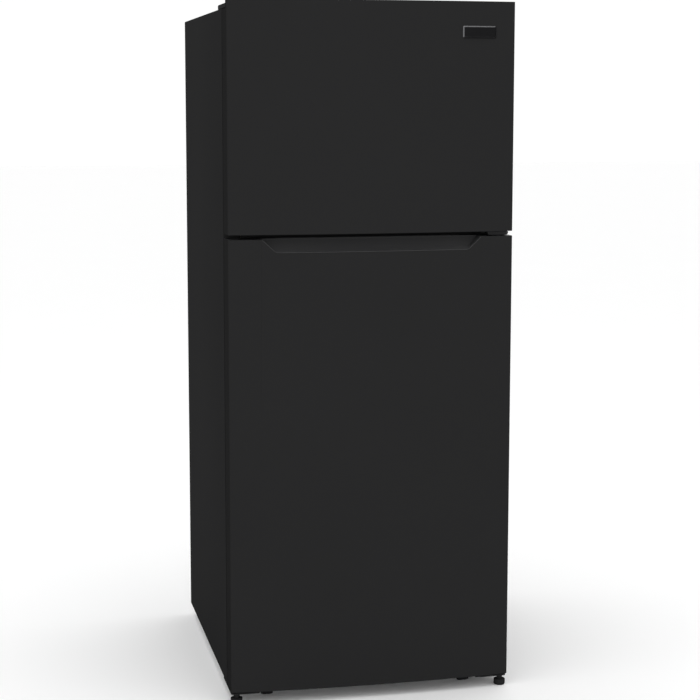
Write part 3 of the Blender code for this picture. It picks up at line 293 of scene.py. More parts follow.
def copper():
    look = Shader("copper", (0.62, 0.30, 0.17), 0.36, 1.0)
    look.mottle(look.noise(70.0, 4.0), (0.42, 0.20, 0.12), (0.68, 0.34, 0.20))
    look.vary_roughness(look.noise(120.0, 3.0), 0.28, 0.50)
    return look.emboss(look.noise(400.0, 2.0), 0.00005, 0.3)


def aluminium():
    look = Shader("aluminium", (0.70, 0.71, 0.72), 0.4, 1.0)
    look.mottle(look.noise(50.0, 3.0), (0.64, 0.65, 0.66), (0.74, 0.75, 0.76))
    look.vary_roughness(look.noise(200.0, 3.0, (1.0, 1.0, 0.1)), 0.30, 0.48)
    return look.emboss(look.noise(300.0, 2.0), 0.00005, 0.2)


def badge_face():
    """The blank plate: brushed dark metal."""
    look = Shader("badge_face", (0.006, 0.006, 0.0065), 0.3)
    look.set(**{"Specular IOR Level": 0.05})
    look.mottle(look.noise(80.0, 2.0, (1.0, 1.0, 30.0)), (0.005, 0.005, 0.0055), (0.007, 0.007, 0.0075))
    look.vary_roughness(look.noise(200.0, 2.0, (1.0, 1.0, 30.0)), 0.26, 0.36)
    return look.emboss(look.noise(900.0, 2.0, (0.05, 1.0, 1.0)), 0.00003, 0.2)


def badge_rim():
    look = Shader("badge_rim", (0.13, 0.13, 0.135), 0.35, 0.6)
    look.mottle(look.noise(150.0, 2.0), (0.12, 0.12, 0.125), (0.14, 0.14, 0.145))
    return look.vary_roughness(look.noise(300.0, 2.0), 0.24, 0.36)


def compressor_paint():
    look = Shader("compressor_paint", (0.018, 0.018, 0.018), 0.35)
    look.mottle(look.noise(25.0, 5.0), (0.014, 0.014, 0.014), (0.028, 0.027, 0.026))
    look.vary_roughness(look.noise(45.0, 4.0), 0.26, 0.52)
    return look.emboss(look.noise(220.0, 3.0), 0.0002, 0.3)


def floor_paint():
    look = Shader("floor", (0.97, 0.97, 0.97), 0.8)
    look.mottle(look.noise(1.5, 2.0), (0.968, 0.968, 0.968), (0.972, 0.972, 0.972))
    return look


MAKERS = [
    black_enamel, side_enamel_painted_shade, door_edge_painted_shade, black_plastic, scoop_plastic_painted_light, zinc_steel, painted_back, white_liner,
    white_plastic, clear_plastic, shelf_glass, seal_rubber, foam, copper, aluminium, badge_face,
    badge_rim, compressor_paint, floor_paint,
]
LOOKS = {maker.__name__: maker().material for maker in MAKERS}
LOOK_OF_SLOT = {"glass": "shelf_glass", "badge_metal": "badge_face"}
# The cabinet and the mullion cover take the darker side enamel, painted shade.
LOOK_OF_NODE = {
    "cabinet_shell": "side_enamel_painted_shade", "back_panel": "painted_back", "compressor": "compressor_paint",
    "mullion_cover": "side_enamel_painted_shade",
}


def look_for(node):
    slot = SLOT_OF[node]
    return LOOKS[LOOK_OF_NODE.get(node) or LOOK_OF_SLOT.get(slot, slot)]


# ---- mesh tools ------------------------------------------------------------------------------
def new_piece(name, bm, look, body, replaces=(), crease=30):
    """Makes a shown piece: a clean mesh with a material, riding on a body."""
    bmesh.ops.recalc_face_normals(bm, faces=bm.faces)
    mesh = bpy.data.meshes.new(name)
    bm.to_mesh(mesh)
    bm.free()
    piece = bpy.data.objects.new(name, mesh)
    bpy.context.scene.collection.objects.link(piece)
    return dress(piece, look, body, replaces, crease)


def dress(piece, look, body, replaces=(), crease=30):
    if piece.type == "MESH":
        piece.data.shade_smooth()
        piece.data.set_sharp_from_angle(angle=math.radians(crease))
    piece.data.materials.clear()
    piece.data.materials.append(LOOKS[look] if isinstance(look, str) else look)
    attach(piece, body)
    if replaces:
        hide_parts(*replaces)
    return piece


def arc(centre, radius, start, end, steps):
    points = []
    for step in range(steps + 1):
        angle = math.radians(start + (end - start) * step / steps)
        points.append((centre[0] + radius * math.cos(angle), centre[1] + radius * math.sin(angle)))
    return points


def rounded_rectangle(u_low, v_low, u_high, v_high, radius, steps=6):
    outline = arc((u_high - radius, v_low + radius), radius, -90, 0, steps)
    outline += arc((u_high - radius, v_high - radius), radius, 0, 90, steps)
    outline += arc((u_low + radius, v_high - radius), radius, 90, 180, steps)
    outline += arc((u_low + radius, v_low + radius), radius, 180, 270, steps)
    return outline


def inset_rectangle(u_low, v_low, u_high, v_high, inset, radius, steps):
    """A rounded rectangle drawn in by an inset, with its corners drawn in as well."""
    sides = (u_low + inset, v_low + inset, u_high - inset, v_high - inset)
    return rounded_rectangle(*sides, radius - inset, steps)


PLACE = {
    "X": lambda u, v, w: (w, u, v),
    "Y": lambda u, v, w: (u, w, v),
    "Z": lambda u, v, w: (u, v, w),
}


def prism(outline, axis, start, end):
    bm = bmesh.new()
    add_prism(bm, outline, axis, start, end)
    return bm


def add_prism(bm, outline, axis, start, end):
    """Adds an extruded outline to a bmesh."""
    place = PLACE[axis]
    low = [bm.verts.new(place(u, v, start)) for u, v in outline]
    high = [bm.verts.new(place(u, v, end)) for u, v in outline]
    bm.faces.new(low)
    bm.faces.new(reversed(high))
    for index in range(len(outline)):
        after = (index + 1) % len(outline)
        bm.faces.new((low[index], high[index], high[after], low[after]))


def loft(rings, closed_ends=True):
    """Joins rings of points, each with the same count, into one skin with filled ends."""
    bm = bmesh.new()
    rows = [[bm.verts.new(point) for point in ring] for ring in rings]
    count = len(rows[0])
    for first, second in zip(rows, rows[1:]):
        for index in range(count):
            after = (index + 1) % count
            bm.faces.new((first[index], first[after], second[after], second[index]))
    if closed_ends:
        bm.faces.new(rows[0])
        bm.faces.new(reversed(rows[-1]))
    return bm


def scratch(bm):
    bmesh.ops.recalc_face_normals(bm, faces=bm.faces)
    mesh = bpy.data.meshes.new("scratch")
    bm.to_mesh(mesh)
    bm.free()
    thing = bpy.data.objects.new("scratch", mesh)
    bpy.context.scene.collection.objects.link(thing)
    return thing


def carve(bm, cutters):
    """A bmesh with others cut out of it."""
    body = scratch(bm)
    tools = [scratch(cutter) for cutter in cutters]
    for tool in tools:
        modifier = body.modifiers.new("carve", "BOOLEAN")
        modifier.operation = "DIFFERENCE"
        modifier.solver = "EXACT"
        modifier.object = tool
    depsgraph = bpy.context.evaluated_depsgraph_get()
    mesh = bpy.data.meshes.new_from_object(body.evaluated_get(depsgraph))
    result = bmesh.new()
    result.from_mesh(mesh)
    bpy.data.meshes.remove(mesh)
    for thing in [body] + tools:
        bpy.data.objects.remove(thing, do_unlink=True)
    return result


def tidy(bm, angle=0.2):
    """Welds a mesh and merges its flat triangles into whole faces."""
    bmesh.ops.remove_doubles(bm, verts=bm.verts, dist=0.000005)
    bmesh.ops.dissolve_limit(bm, angle_limit=math.radians(angle), verts=bm.verts, edges=bm.edges)
    return bm


def round_edges(bm, width, segments=2, angle=40, chosen=None):
    """Bevels the sharp edges, or only those that a test chooses."""
    limit = math.radians(angle)
    edges = []
    for edge in bm.edges:
        if len(edge.link_faces) == 2 and edge.calc_face_angle(0) > limit:
            if chosen is None or chosen(edge):
                edges.append(edge)
    bmesh.ops.bevel(
        bm, geom=edges, offset=width, segments=segments, profile=0.5, affect="EDGES", clamp_overlap=True
    )
    return bm


def refine(node, width, segments=2):
    """A finer copy of a CAD node, with whole faces and rounded edges, that stands for it."""
    bm = bmesh.new()
    bm.from_mesh(NODES[node].data)
    tidy(bm)
    round_edges(bm, width, segments)
    return new_piece(node + "_fine", bm, look_for(node), BODY_OF[node], (node,))


def tube(name, points, radius, look, body, steps):
    """A round bar or pipe along a smooth line."""
    curve = bpy.data.curves.new(name, "CURVE")
    curve.dimensions = "3D"
    curve.bevel_depth = radius
    curve.bevel_resolution = 4
    curve.use_fill_caps = True
    spline = curve.splines.new("POLY")
    smooth = smooth_line(points, steps)
    spline.points.add(len(smooth) - 1)
    for point, place in zip(spline.points, smooth):
        point.co = (*place, 1.0)
    piece = bpy.data.objects.new(name, curve)
    bpy.context.scene.collection.objects.link(piece)
    return dress(piece, look, body)


def smooth_line(points, steps):
    knots = [Vector(point) for point in points]
    knots = [2 * knots[0] - knots[1]] + knots + [2 * knots[-1] - knots[-2]]
    line = []
    for index in range(1, len(knots) - 2):
        before, here, there, after = knots[index - 1 : index + 3]
        for step in range(steps):
            t = step / steps
            place = (2 * t**3 - 3 * t**2 + 1) * here + (t**3 - 2 * t**2 + t) * (there - before) / 2
            place += (-2 * t**3 + 3 * t**2) * there + (t**3 - t**2) * (after - here) / 2
            line.append(place)
    line.append(knots[-2])
    return line


def ring_points(profile, segments):
    """Rings of a turned shape about +Z, from a list of (radius, height)."""
    rings = []
    for radius, height in profile:
        ring = []
        for segment in range(segments):
            angle = math.tau * segment / segments
            ring.append(Vector((radius * math.cos(angle), radius * math.sin(angle), height)))
        rings.append(ring)
    return rings


AIM = {
    "+Z": Matrix.Identity(4),
    "-Z": Matrix.Rotation(math.pi, 4, "X"),
    "+Y": Matrix.Rotation(-math.pi / 2, 4, "X"),
    "-Y": Matrix.Rotation(math.pi / 2, 4, "X"),
    "+X": Matrix.Rotation(math.pi / 2, 4, "Y"),
    "-X": Matrix.Rotation(-math.pi / 2, 4, "Y"),
}


def screw(name, place, aim, radius):
    """A pan-head screw with a crossed drive recess."""
    height = radius * 0.6
    profile = [(radius * 0.98, 0.0), (radius, height * 0.3), (radius * 0.92, height * 0.65)]
    profile += [(radius * 0.70, height * 0.9), (radius * 0.4, height)]
    head = loft(ring_points(profile, 20))
    arm = radius * 0.55
    slit = radius * 0.14
    first = prism([(-arm, -slit), (arm, -slit), (arm, slit), (-arm, slit)], "Z", height * 0.45, height * 2)
    second = prism([(-slit, -arm), (slit, -arm), (slit, arm), (-slit, arm)], "Z", height * 0.45, height * 2)
    head = carve(head, [first, second])
    bmesh.ops.transform(head, matrix=Matrix.Translation(place) @ AIM[aim], verts=head.verts)
    return new_piece(name, head, "zinc_steel", "cabinet")


# ---- doors -----------------------------------------------------------------------------------
def door_front(inset):
    """The bowed front and its corner rounds, seen from above, from the right side to the left."""
    side = HALF - inset
    fillet = DOOR_FILLET - min(inset, DOOR_FILLET - 0.0015)
    radius = BOW_RADIUS - inset
    centre_y = FRONT + BOW_RADIUS
    run = side - fillet
    fillet_y = centre_y - math.sqrt((radius - fillet) ** 2 - run**2)
    lean = math.degrees(math.asin(run / (radius - fillet)))
    outline = arc((run, fillet_y), fillet, 0, -90 + lean, 8)
    outline += arc((0, centre_y), radius, -90 + lean, -90 - lean, BOW_STEPS)[1:-1]
    outline += arc((-run, fillet_y), fillet, -90 - lean, -180, 8)
    return outline


def door_sheet(bottom, top):
    """The steel front, wrapped round the sides and turned in at the back."""
    hem = HALF - 0.0135
    outer = [(hem, DOOR_BACK), (HALF, DOOR_BACK)] + door_front(0) + [(-HALF, DOOR_BACK), (-hem, DOOR_BACK)]
    back = DOOR_BACK - SHEET
    side = HALF - SHEET
    inner = [(hem, back), (side, back)] + door_front(SHEET) + [(-side, back), (-hem, back)]
    return prism(outer + inner[::-1], "Z", bottom, top)


def on_skin(point):
    """Whether a point lies on the door's outer skin: its bow, its corner rounds or its sides."""
    if abs(abs(point.x) - HALF) < 0.00002:
        return True
    from_centre = math.hypot(point.x, point.y - FRONT - BOW_RADIUS)
    if abs(from_centre - BOW_RADIUS) < 0.00008 and point.y < LIP_BACK:
        return True
    run = HALF - DOOR_FILLET
    fillet_y = FRONT + BOW_RADIUS - math.sqrt((BOW_RADIUS - DOOR_FILLET) ** 2 - run**2)
    from_fillet = math.hypot(abs(point.x) - run, point.y - fillet_y)
    return abs(from_fillet - DOOR_FILLET) < 0.00008


def outer_edge(edge):
    return all(on_skin(vert.co) for vert in edge.verts)


def skin_normal(point):
    """Which way the door's outer skin faces at a point on it."""
    run = HALF - DOOR_FILLET
    if abs(point.x) < run:
        return Vector((point.x, point.y - FRONT - BOW_RADIUS, 0)).normalized()
    fillet_y = FRONT + BOW_RADIUS - math.sqrt((BOW_RADIUS - DOOR_FILLET) ** 2 - run**2)
    side = math.copysign(1.0, point.x)
    if point.y > fillet_y:
        return Vector((side, 0, 0))
    return Vector((point.x - side * run, point.y - fillet_y, 0)).normalized()


def polish(piece):
    """Gives a door's skin the true normals of its bow, so that the long faces shade evenly."""
    mesh = piece.data
    normals = []
    for face in mesh.polygons:
        for index in face.loop_indices:
            point = mesh.vertices[mesh.loops[index].vertex_index].co
            normal = face.normal
            if on_skin(point):
                true_normal = skin_normal(point)
                if true_normal.dot(face.normal) > 0.97:
                    normal = true_normal
            normals.append(normal)
    mesh.normals_split_custom_set(normals)


def scoop_space():
    """The hand recess as a solid: a trapezoid that rises towards the back, with rounded inner corners."""
    bottom = DOOR_TOP - SCOOP_DEPTH
    above = DOOR_TOP + 0.02
    start = DOOR_CORNER - 0.002
    rows = [(FRONT - 0.02, 0.0), (FRONT - 0.008, 0.0)]
    for step in range(15):
        share = step / 14
        rows.append((start + SCOOP_RUN * share, (SCOOP_DEPTH - 0.0012) * (0.45 * share + 0.55 * share**2)))
    rows.append((start + SCOOP_RUN + 0.0015, SCOOP_DEPTH + 0.004))
    rings = []
    for y, lift in rows:
        deep = max(0.0, y - start) / SCOOP_RUN
        radius = 0.003 + 0.009 * min(1.0, deep)
        low = bottom + lift
        half = SCOOP_BOTTOM_HALF + SCOOP_SLANT * lift
        turn = math.degrees(math.atan(1 / SCOOP_SLANT))
        reach = radius * math.tan(math.radians(turn / 2))
        right = arc((half - reach, low + radius), radius, -90, -90 + turn, 5)
        left = [(-x, z) for x, z in reversed(right)]
        top_half = SCOOP_BOTTOM_HALF + SCOOP_SLANT * (above - bottom)
        section = [(-top_half, above)] + left + right + [(top_half, above)]
        rings.append([(x, y, z) for x, z in section])
    return loft(rings)


def upper_rear():
    """The space behind the upper door's lip, above its stepped rear."""
    outline = [(-1, LIP_BACK), (1, LIP_BACK), (1, DOOR_BACK + 0.1), (-1, DOOR_BACK + 0.1)]
    return prism(outline, "Z", STEP_TOP, UPPER_HIGH.z + 0.1)


def door_skin(door, bm):
    tidy(bm, 0.1)
    round_edges(bm, 0.0009, 3, 50, outer_edge)
    skin = new_piece(door + "_skin", bm, "black_enamel", door, (door + "_panel",))
    polish(skin)
    # The door's side faces take the darker edge enamel: painted shade on the sides.
    skin.data.materials.append(LOOKS["door_edge_painted_shade"])
    for polygon in skin.data.polygons:
        polygon.material_index = int(abs(polygon.normal.x) > 0.9)


def door_panels():
    upper = carve(door_sheet(UPPER_LOW.z, UPPER_HIGH.z), [upper_rear()])
    door_skin("freezer_door", upper)
    lower = carve(door_sheet(PANEL_LOW.z, PANEL_HIGH.z), [scoop_space()])
    door_skin("fridge_door", lower)


def door_plug(bottom, top):
    side = HALF - CAP_INSET
    outline = [(side, CAP_HIGH.y)] + door_front(CAP_INSET) + [(-side, CAP_HIGH.y)]
    return prism(outline, "Z", bottom, top)


def pin_bore(low, high):
    return prism(arc(PIN, PIN_BORE_RADIUS, 0, 345, 23), "Z", low, high)


def finger_channel(front, back, radius, bottom, top):
    """A long slot for the fingers, between two depths behind the door's corner."""
    outline = rounded_rectangle(-CHANNEL_HALF, DOOR_CORNER + front, CHANNEL_HALF, DOOR_CORNER + back, radius)
    return prism(outline, "Z", bottom, top)


def door_cap(name, look, door, cap_node, bm):
    new_piece(name, bm, look, door, (cap_node,), 28)


def lower_door_cap():
    """The lower door's top end, with the scooped hand recess."""
    channel = finger_channel(0.0325, 0.0475, 0.004, DOOR_TOP - 0.020, DOOR_TOP + 0.1)
    bore = pin_bore(DOOR_TOP - 0.013, DOOR_TOP + 0.1)
    cap = carve(door_plug(CAP_LOW.z, CAP_HIGH.z), [scoop_space(), channel, bore])
    tidy(cap, 0.1)
    # The recess takes the lighter scoop plastic: painted light inside the hand recess.
    door_cap("hand_recess", "scoop_plastic_painted_light", "fridge_door", "fridge_door_top_cap", cap)


def upper_door_caps():
    """The upper door's bottom end with its finger channel, and the lip along its top."""
    below = GRIP_LOW.z - 0.1
    channel = finger_channel(0.015, 0.045, 0.006, below, GRIP_LOW.z + 0.024)
    grip = carve(door_plug(GRIP_LOW.z, GRIP_HIGH.z), [channel, pin_bore(below, GRIP_LOW.z + 0.013)])
    tidy(grip, 0.1)
    door_cap("upper_door_grip", "black_plastic", "freezer_door", "freezer_door_bottom_cap", grip)
    bore = pin_bore(STEP_TOP - 0.0145, UPPER_CAP_HIGH.z + 0.1)
    lip = carve(door_plug(UPPER_CAP_LOW.z, UPPER_CAP_HIGH.z), [upper_rear(), bore])
    tidy(lip, 0.1)
    round_edges(lip, 0.0012, 3, 50, lambda edge: min(v.co.z for v in edge.verts) > UPPER_CAP_HIGH.z - 0.0001)
    door_cap("upper_door_lip", "black_plastic", "freezer_door", "freezer_door_top_cap", lip)


def bow_point(x, z, lift=0.0):
    """A point on the door's bowed front, or a little proud of it."""
    return (x, FRONT + BOW_RADIUS - math.sqrt((BOW_RADIUS + lift) ** 2 - x**2), z)


def scoop_painted_highlight():
    """A fine bead of the lighter scoop plastic along the hand recess's edge on the door's face: a painted
    highlight for the light that catches that edge.
    """
    bottom = DOOR_TOP - SCOOP_DEPTH
    corner = 0.003
    end_half = SCOOP_BOTTOM_HALF + SCOOP_SLANT * (SCOOP_DEPTH - 0.0008)
    right = [(end_half, DOOR_TOP - 0.0008), (SCOOP_BOTTOM_HALF + SCOOP_SLANT * corner, bottom + corner)]
    right += [(SCOOP_BOTTOM_HALF - 0.0006, bottom + 0.0008), (SCOOP_BOTTOM_HALF - 0.004, bottom)]
    across = [(SCOOP_BOTTOM_HALF * (1 - step / 12), bottom) for step in range(1, 24)]
    left = [(-x, z) for x, z in reversed(right)]
    points = [bow_point(x, z, 0.0001) for x, z in right + across + left]
    tube("scoop_painted_highlight", points, 0.0006, "scoop_plastic_painted_light", "fridge_door", 1)


def middle_hinge_fittings():
    """The cap over the middle hinge's arm, seen between the doors, and the flanged bush round its pins."""
    gap_low = DOOR_TOP + 0.0006
    gap_high = UPPER_LOW.z - 0.0006
    left = PIN[0] - 0.0395
    right = PIN[0] + 0.0045
    radius = 0.0045
    outline = [(left, gap_high)]
    outline += arc((left + radius, gap_low + 0.0016 + radius), radius, 180, 270, 6)
    outline += arc((right - radius, gap_low + 0.0016 + radius), radius, 270, 360, 6)
    outline += [(right, gap_high)]
    cap = prism(outline, "Y", DOOR_CORNER + 0.0012, PIN[1] - 0.0102)
    new_piece("middle_hinge_cap", cap, "black_plastic", "cabinet", (), 40)
    for start in (gap_low, gap_high - 0.0014):
        rows = [(0.0042, start), (0.0068, start), (0.0068, start + 0.0014), (0.0042, start + 0.0014)]
        flange = loft(ring_points(rows, 32))
        bmesh.ops.translate(flange, vec=(PIN[0], PIN[1], 0), verts=flange.verts)
        new_piece("middle_hinge_flange", flange, "black_plastic", "cabinet", (), 40)


def badge():
    """A blank plate: a dark brushed face inside a bright bevelled rim, whose right and bottom faces take the
    dark face material as painted shade.
    """
    low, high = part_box("badge_plate")
    centre_x = (low.x + high.x) / 2
    centre_z = (low.z + high.z) / 2
    width = 0.072
    height = high.z - low.z
    lean = math.asin(centre_x / BOW_RADIUS)
    surface = FRONT + BOW_RADIUS - math.sqrt(BOW_RADIUS**2 - centre_x**2)
    place = Matrix.Translation((centre_x, surface - 0.0001, centre_z)) @ Matrix.Rotation(lean, 4, "Z")
    rim_width = 0.0024
    rim_rows = [(0.0, -0.0003), (0.0, -0.0008), (0.0016, -0.0024), (0.0021, -0.0024), (rim_width, -0.0018)]
    rings = []
    for inset, y in rim_rows:
        outline = inset_rectangle(-width / 2, -height / 2, width / 2, height / 2, inset, 0.0028, 5)
        rings.append([place @ Vector((x, y, z)) for x, z in outline])
    plate = ("badge_plate",)
    rim = new_piece("badge_rim", loft(rings), "badge_rim", "freezer_door", plate, 20)
    # The rim's right and bottom faces take the dark face material: painted shade, so only the top and left of
    # the rim look bright.
    rim.data.materials.append(LOOKS["badge_face"])
    for polygon in rim.data.polygons:
        rim_painted_shade = polygon.center.x > centre_x + width / 2 - rim_width
        rim_painted_shade = rim_painted_shade or polygon.center.z < centre_z - height / 2 + rim_width
        polygon.material_index = int(rim_painted_shade)
    face = []
    for inset, y in ((0.0025, -0.0017), (0.0025, -0.0020), (0.0028, -0.0021)):
        outline = inset_rectangle(-width / 2, -height / 2, width / 2, height / 2, inset, inset + 0.0005, 5)
        face.append([place @ Vector((x, y, z)) for x, z in outline])
    new_piece("badge_face", loft(face), "badge_face", "freezer_door", (), 20)


# ---- cabinet outside -------------------------------------------------------------------------
def ring_of(outline, y):
    return [(x, y, z) for x, z in outline]


def hoop(rings):
    """Joins rings of points into a closed loop of skin, the last ring to the first."""
    bm = loft(rings + [rings[0]], closed_ends=False)
    bmesh.ops.remove_doubles(bm, verts=bm.verts, dist=0.000005)
    return bm


def bead(low, high, rise):
    """A long pressed bead on the back sheet, standing out towards the wall."""
    rings = []
    for share in (0.0, 0.25, 0.6, 0.85, 1.0):
        inset = 0.006 * share
        lift = rise * math.sin(share * math.pi / 2)
        outline = inset_rectangle(low[0], low[1], high[0], high[1], inset, 0.012, 6)
        rings.append(ring_of(outline, BACK - 0.0002 + lift))
    new_piece("back_bead", loft(rings), "painted_back", "cabinet", (), 40)


def back_sheet():
    low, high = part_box("back_panel")
    refine("back_panel", 0.0003, 1)
    width = high.x - low.x
    for index in range(4):
        left = low.x + width * (0.10 + 0.21 * index)
        bead((left, low.z + 0.08), (left + width * 0.17, high.z - 0.08), 0.0012)
    edge = 0.012
    for step in range(6):
        height = low.z + edge + (high.z - low.z - 2 * edge) * step / 5
        for side in (low.x + edge, high.x - edge):
            screw("back_screw", (side, BACK, height), "+Y", BACK_SCREW_RADIUS)
    for step in range(1, 4):
        across = low.x + width * step / 4
        for height in (low.z + edge, high.z - edge):
            screw("back_screw", (across, BACK, height), "+Y", BACK_SCREW_RADIUS)


def machine_lining():
    """One bent sheet over the foam, up the front of the space and back under its roof."""
    inset = 0.0003
    sheet = 0.0005
    front = MACHINE_FRONT + inset
    roof = MACHINE_TOP - inset
    rear = BACK - 0.004
    outer = [(front, MACHINE_FLOOR), (front, MACHINE_KNEE), (front + MACHINE_LEAN, roof), (rear, roof)]
    inner = [(y + sheet, z - sheet) for y, z in outer]
    inner[0] = (front + sheet, MACHINE_FLOOR)
    inner[-1] = (rear, roof - sheet)
    half = MACHINE_WALL - 0.0009
    panel = prism(outer + inner[::-1], "X", -half, half)
    new_piece("machine_space_lining", panel, "zinc_steel", "cabinet")


def machine_sides():
    """The side linings, and the side sheets' returns at the back."""
    rear = BACK - 0.002
    roof = MACHINE_TOP - 0.001
    lining = [(MACHINE_FRONT + 0.001, MACHINE_FLOOR), (rear, MACHINE_FLOOR), (rear, roof)]
    lining += [(MACHINE_FRONT + 0.040, roof), (MACHINE_FRONT + 0.001, MACHINE_KNEE)]
    for side in (-1, 1):
        ends = sorted((side * (MACHINE_WALL - 0.0003), side * (MACHINE_WALL - 0.0008)))
        new_piece("machine_space_side", prism(lining, "X", *ends), "zinc_steel", "cabinet")
        left, right = sorted((side * (MACHINE_WALL - 0.0008), side * (HALF - 0.0012)))
        flange = rear_strip(left, CABINET_LOW.z + 0.002, right, RAIL_TOP)
        new_piece("rear_flange", flange, "side_enamel_painted_shade", "cabinet")


def rear_strip(left, bottom, right, top):
    """A thin upright sheet just inside the back."""
    outline = [(left, bottom), (right, bottom), (right, top), (left, top)]
    return prism(outline, "Y", BACK - 0.0015, BACK - 0.0008)


def machine_space():
    """Sheet linings over the foam round the machinery, and the edges of its opening."""
    machine_lining()
    machine_sides()
    half = MACHINE_WALL - 0.0008
    rail = rear_strip(-half, MACHINE_TOP - 0.006, half, RAIL_TOP)
    new_piece("rear_rail", rail, "zinc_steel", "cabinet")


def cover_screws():
    for node in ("top_hinge_cover", "left_top_cover"):
        low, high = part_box(node)
        place = ((low.x + high.x) / 2, high.y - 0.016, high.z - 0.0004)
        screw(node + "_screw", place, "+Z", 0.0042)


def seal(node):
    """A magnetic seal with a soft bellows: ribs run all round it."""
    low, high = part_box(node)
    depth = high.y - low.y
    width = 0.014
    profile = [(0.0015, 0.0), (0.0, 0.25), (0.0010, 0.5), (0.0, 0.75), (0.0012, 1.0)]
    profile += [(0.0045, 0.90), (0.0075, 0.90), (width - 0.0012, 1.0)]
    profile += [(width, 0.75), (width - 0.0010, 0.5), (width, 0.25), (width - 0.0015, 0.0)]
    rings = []
    for inset, share in profile:
        outline = inset_rectangle(low.x, low.z, high.x, high.z, inset, 0.018, 8)
        rings.append(ring_of(outline, low.y + depth * share))
    new_piece(node + "_ribbed", hoop(rings), "seal_rubber", BODY_OF[node], (node,), 50)


def levelling_foot(node):
    """A screw-in foot: a grooved pad with a rounded lower edge, on a threaded stud."""
    low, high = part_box(node)
    centre = Vector(((low.x + high.x) / 2, (low.y + high.y) / 2, 0.0))
    radius = (high.x - low.x) / 2
    top = PAD_HEIGHT
    profile = [(0.004, 0.0), (radius - 0.003, 0.0), (radius - 0.0012, 0.0006), (radius - 0.0003, 0.0018)]
    profile += [(radius, 0.0032), (radius, top - 0.0012), (radius - 0.0004, top - 0.0003)]
    profile += [(radius - 0.0012, top)]
    profile += [(0.0052, top)]
    rings = ring_points(profile, 48)
    for ring in rings[3:7]:
        for index, point in enumerate(ring):
            if index % 4 < 2:
                point.x *= 0.965
                point.y *= 0.965
    pad = loft(rings)
    bmesh.ops.translate(pad, vec=centre, verts=pad.verts)
    new_piece(node + "_pad", pad, "black_plastic", BODY_OF[node], (node,), 35)
    turns = 5
    rings = []
    pitch = (high.z - top) / turns
    for turn in range(turns):
        for share, radius_here in ((0.05, 0.0024), (0.5, 0.0030), (0.95, 0.0024)):
            rings.append((radius_here, top - 0.001 + pitch * (turn + share)))
    stud = loft(ring_points(rings, 20))
    bmesh.ops.translate(stud, vec=centre, verts=stud.verts)
    new_piece(node + "_stud", stud, "zinc_steel", BODY_OF[node], (), 35)


# ---- inside the compartments -----------------------------------------------------------------
def round_bars(name, spans, radius, look, body, replaces=()):
    """Many straight round bars as one piece, each from a start to an end."""
    bm = bmesh.new()
    for start, end in spans:
        start = Vector(start)
        reach = Vector(end) - start
        turn = reach.to_track_quat("Z", "Y").to_matrix().to_4x4()
        bar = bmesh.ops.create_cone(
            bm, cap_ends=True, segments=12, radius1=radius, radius2=radius, depth=reach.length
        )
        middle = Matrix.Translation(start + reach / 2) @ turn
        bmesh.ops.transform(bm, matrix=middle, verts=bar["verts"])
    return new_piece(name, bm, look, body, replaces, 50)


def wire_shelf():
    low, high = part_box("freezer_shelf")
    radius = 0.0017
    height = high.z - radius
    spans = []
    count = 26
    for index in range(count + 1):
        x = low.x + 0.003 + (high.x - low.x - 0.006) * index / count
        spans.append(((x, low.y + 0.001, height), (x, high.y - 0.001, height)))
    round_bars("wire_shelf", spans, 0.0016, "white_plastic", "cabinet", ("freezer_shelf",))
    rails = []
    for y in (low.y + 0.002, (low.y + high.y) / 2, high.y - 0.002):
        rails.append(((low.x, y, low.z + 0.0012), (high.x, y, low.z + 0.0012)))
    round_bars("wire_shelf_rails", rails, 0.0021, "white_plastic", "cabinet")
    outline = rounded_rectangle(low.y - 0.002, low.z - 0.0045, low.y + 0.006, high.z + 0.0020, 0.002, 4)
    trim = prism(outline, "X", low.x, high.x)
    new_piece("freezer_shelf_trim", trim, "white_plastic", "cabinet")


def shelf_trims():
    """White mouldings along the front and back of each glass shelf."""
    for node in ("fridge_shelf_lower", "fridge_shelf_upper", "crisper_cover"):
        low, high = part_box(node)
        refine(node, 0.0005, 2)
        front = rounded_rectangle(low.y - 0.004, low.z - 0.0065, low.y + 0.010, high.z + 0.0018, 0.003, 5)
        back = rounded_rectangle(high.y - 0.008, low.z - 0.0015, high.y + 0.0015, high.z + 0.010, 0.002, 4)
        for label, outline in (("front", front), ("back", back)):
            pane = prism(rounded_outline_core(low.y, low.z, high.y, high.z), "X", low.x - 0.01, high.x + 0.01)
            trim = carve(prism(outline, "X", low.x, high.x), [pane])
            new_piece(node + "_" + label + "_trim", trim, "white_plastic", "cabinet")


def rounded_outline_core(y_low, z_low, y_high, z_high):
    """The pane's own section, a hair larger, to clear a groove for it."""
    grow = 0.0001
    return [
        (y_low - grow, z_low - grow), (y_high + grow, z_low - grow), (y_high + grow, z_high + grow),
        (y_low - grow, z_high + grow),
    ]


BINS = [
    "freezer_door_bin_lower", "freezer_door_bin_upper", "fridge_door_bin_lower", "fridge_door_bin_middle",
    "fridge_door_bin_upper",
]


def door_bins():
    """Clear bins with soft edges and a white rail round the front of each rim."""
    for node in BINS:
        low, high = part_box(node)
        refine(node, 0.0007, 2)
        start = low.y + 0.020
        inset = 0.0012
        corner = 0.006
        route = [(low.x + inset, start), (low.x + inset, high.y - corner)]
        route += arc((low.x + corner, high.y - corner), corner - inset, 180, 90, 5)
        route += arc((high.x - corner, high.y - corner), corner - inset, 90, 0, 5)
        route += [(high.x - inset, high.y - corner), (high.x - inset, start)]
        points = [(x, y, high.z) for x, y in route]
        tube(node + "_rim", points, 0.0026, "white_plastic", BODY_OF[node], 1)


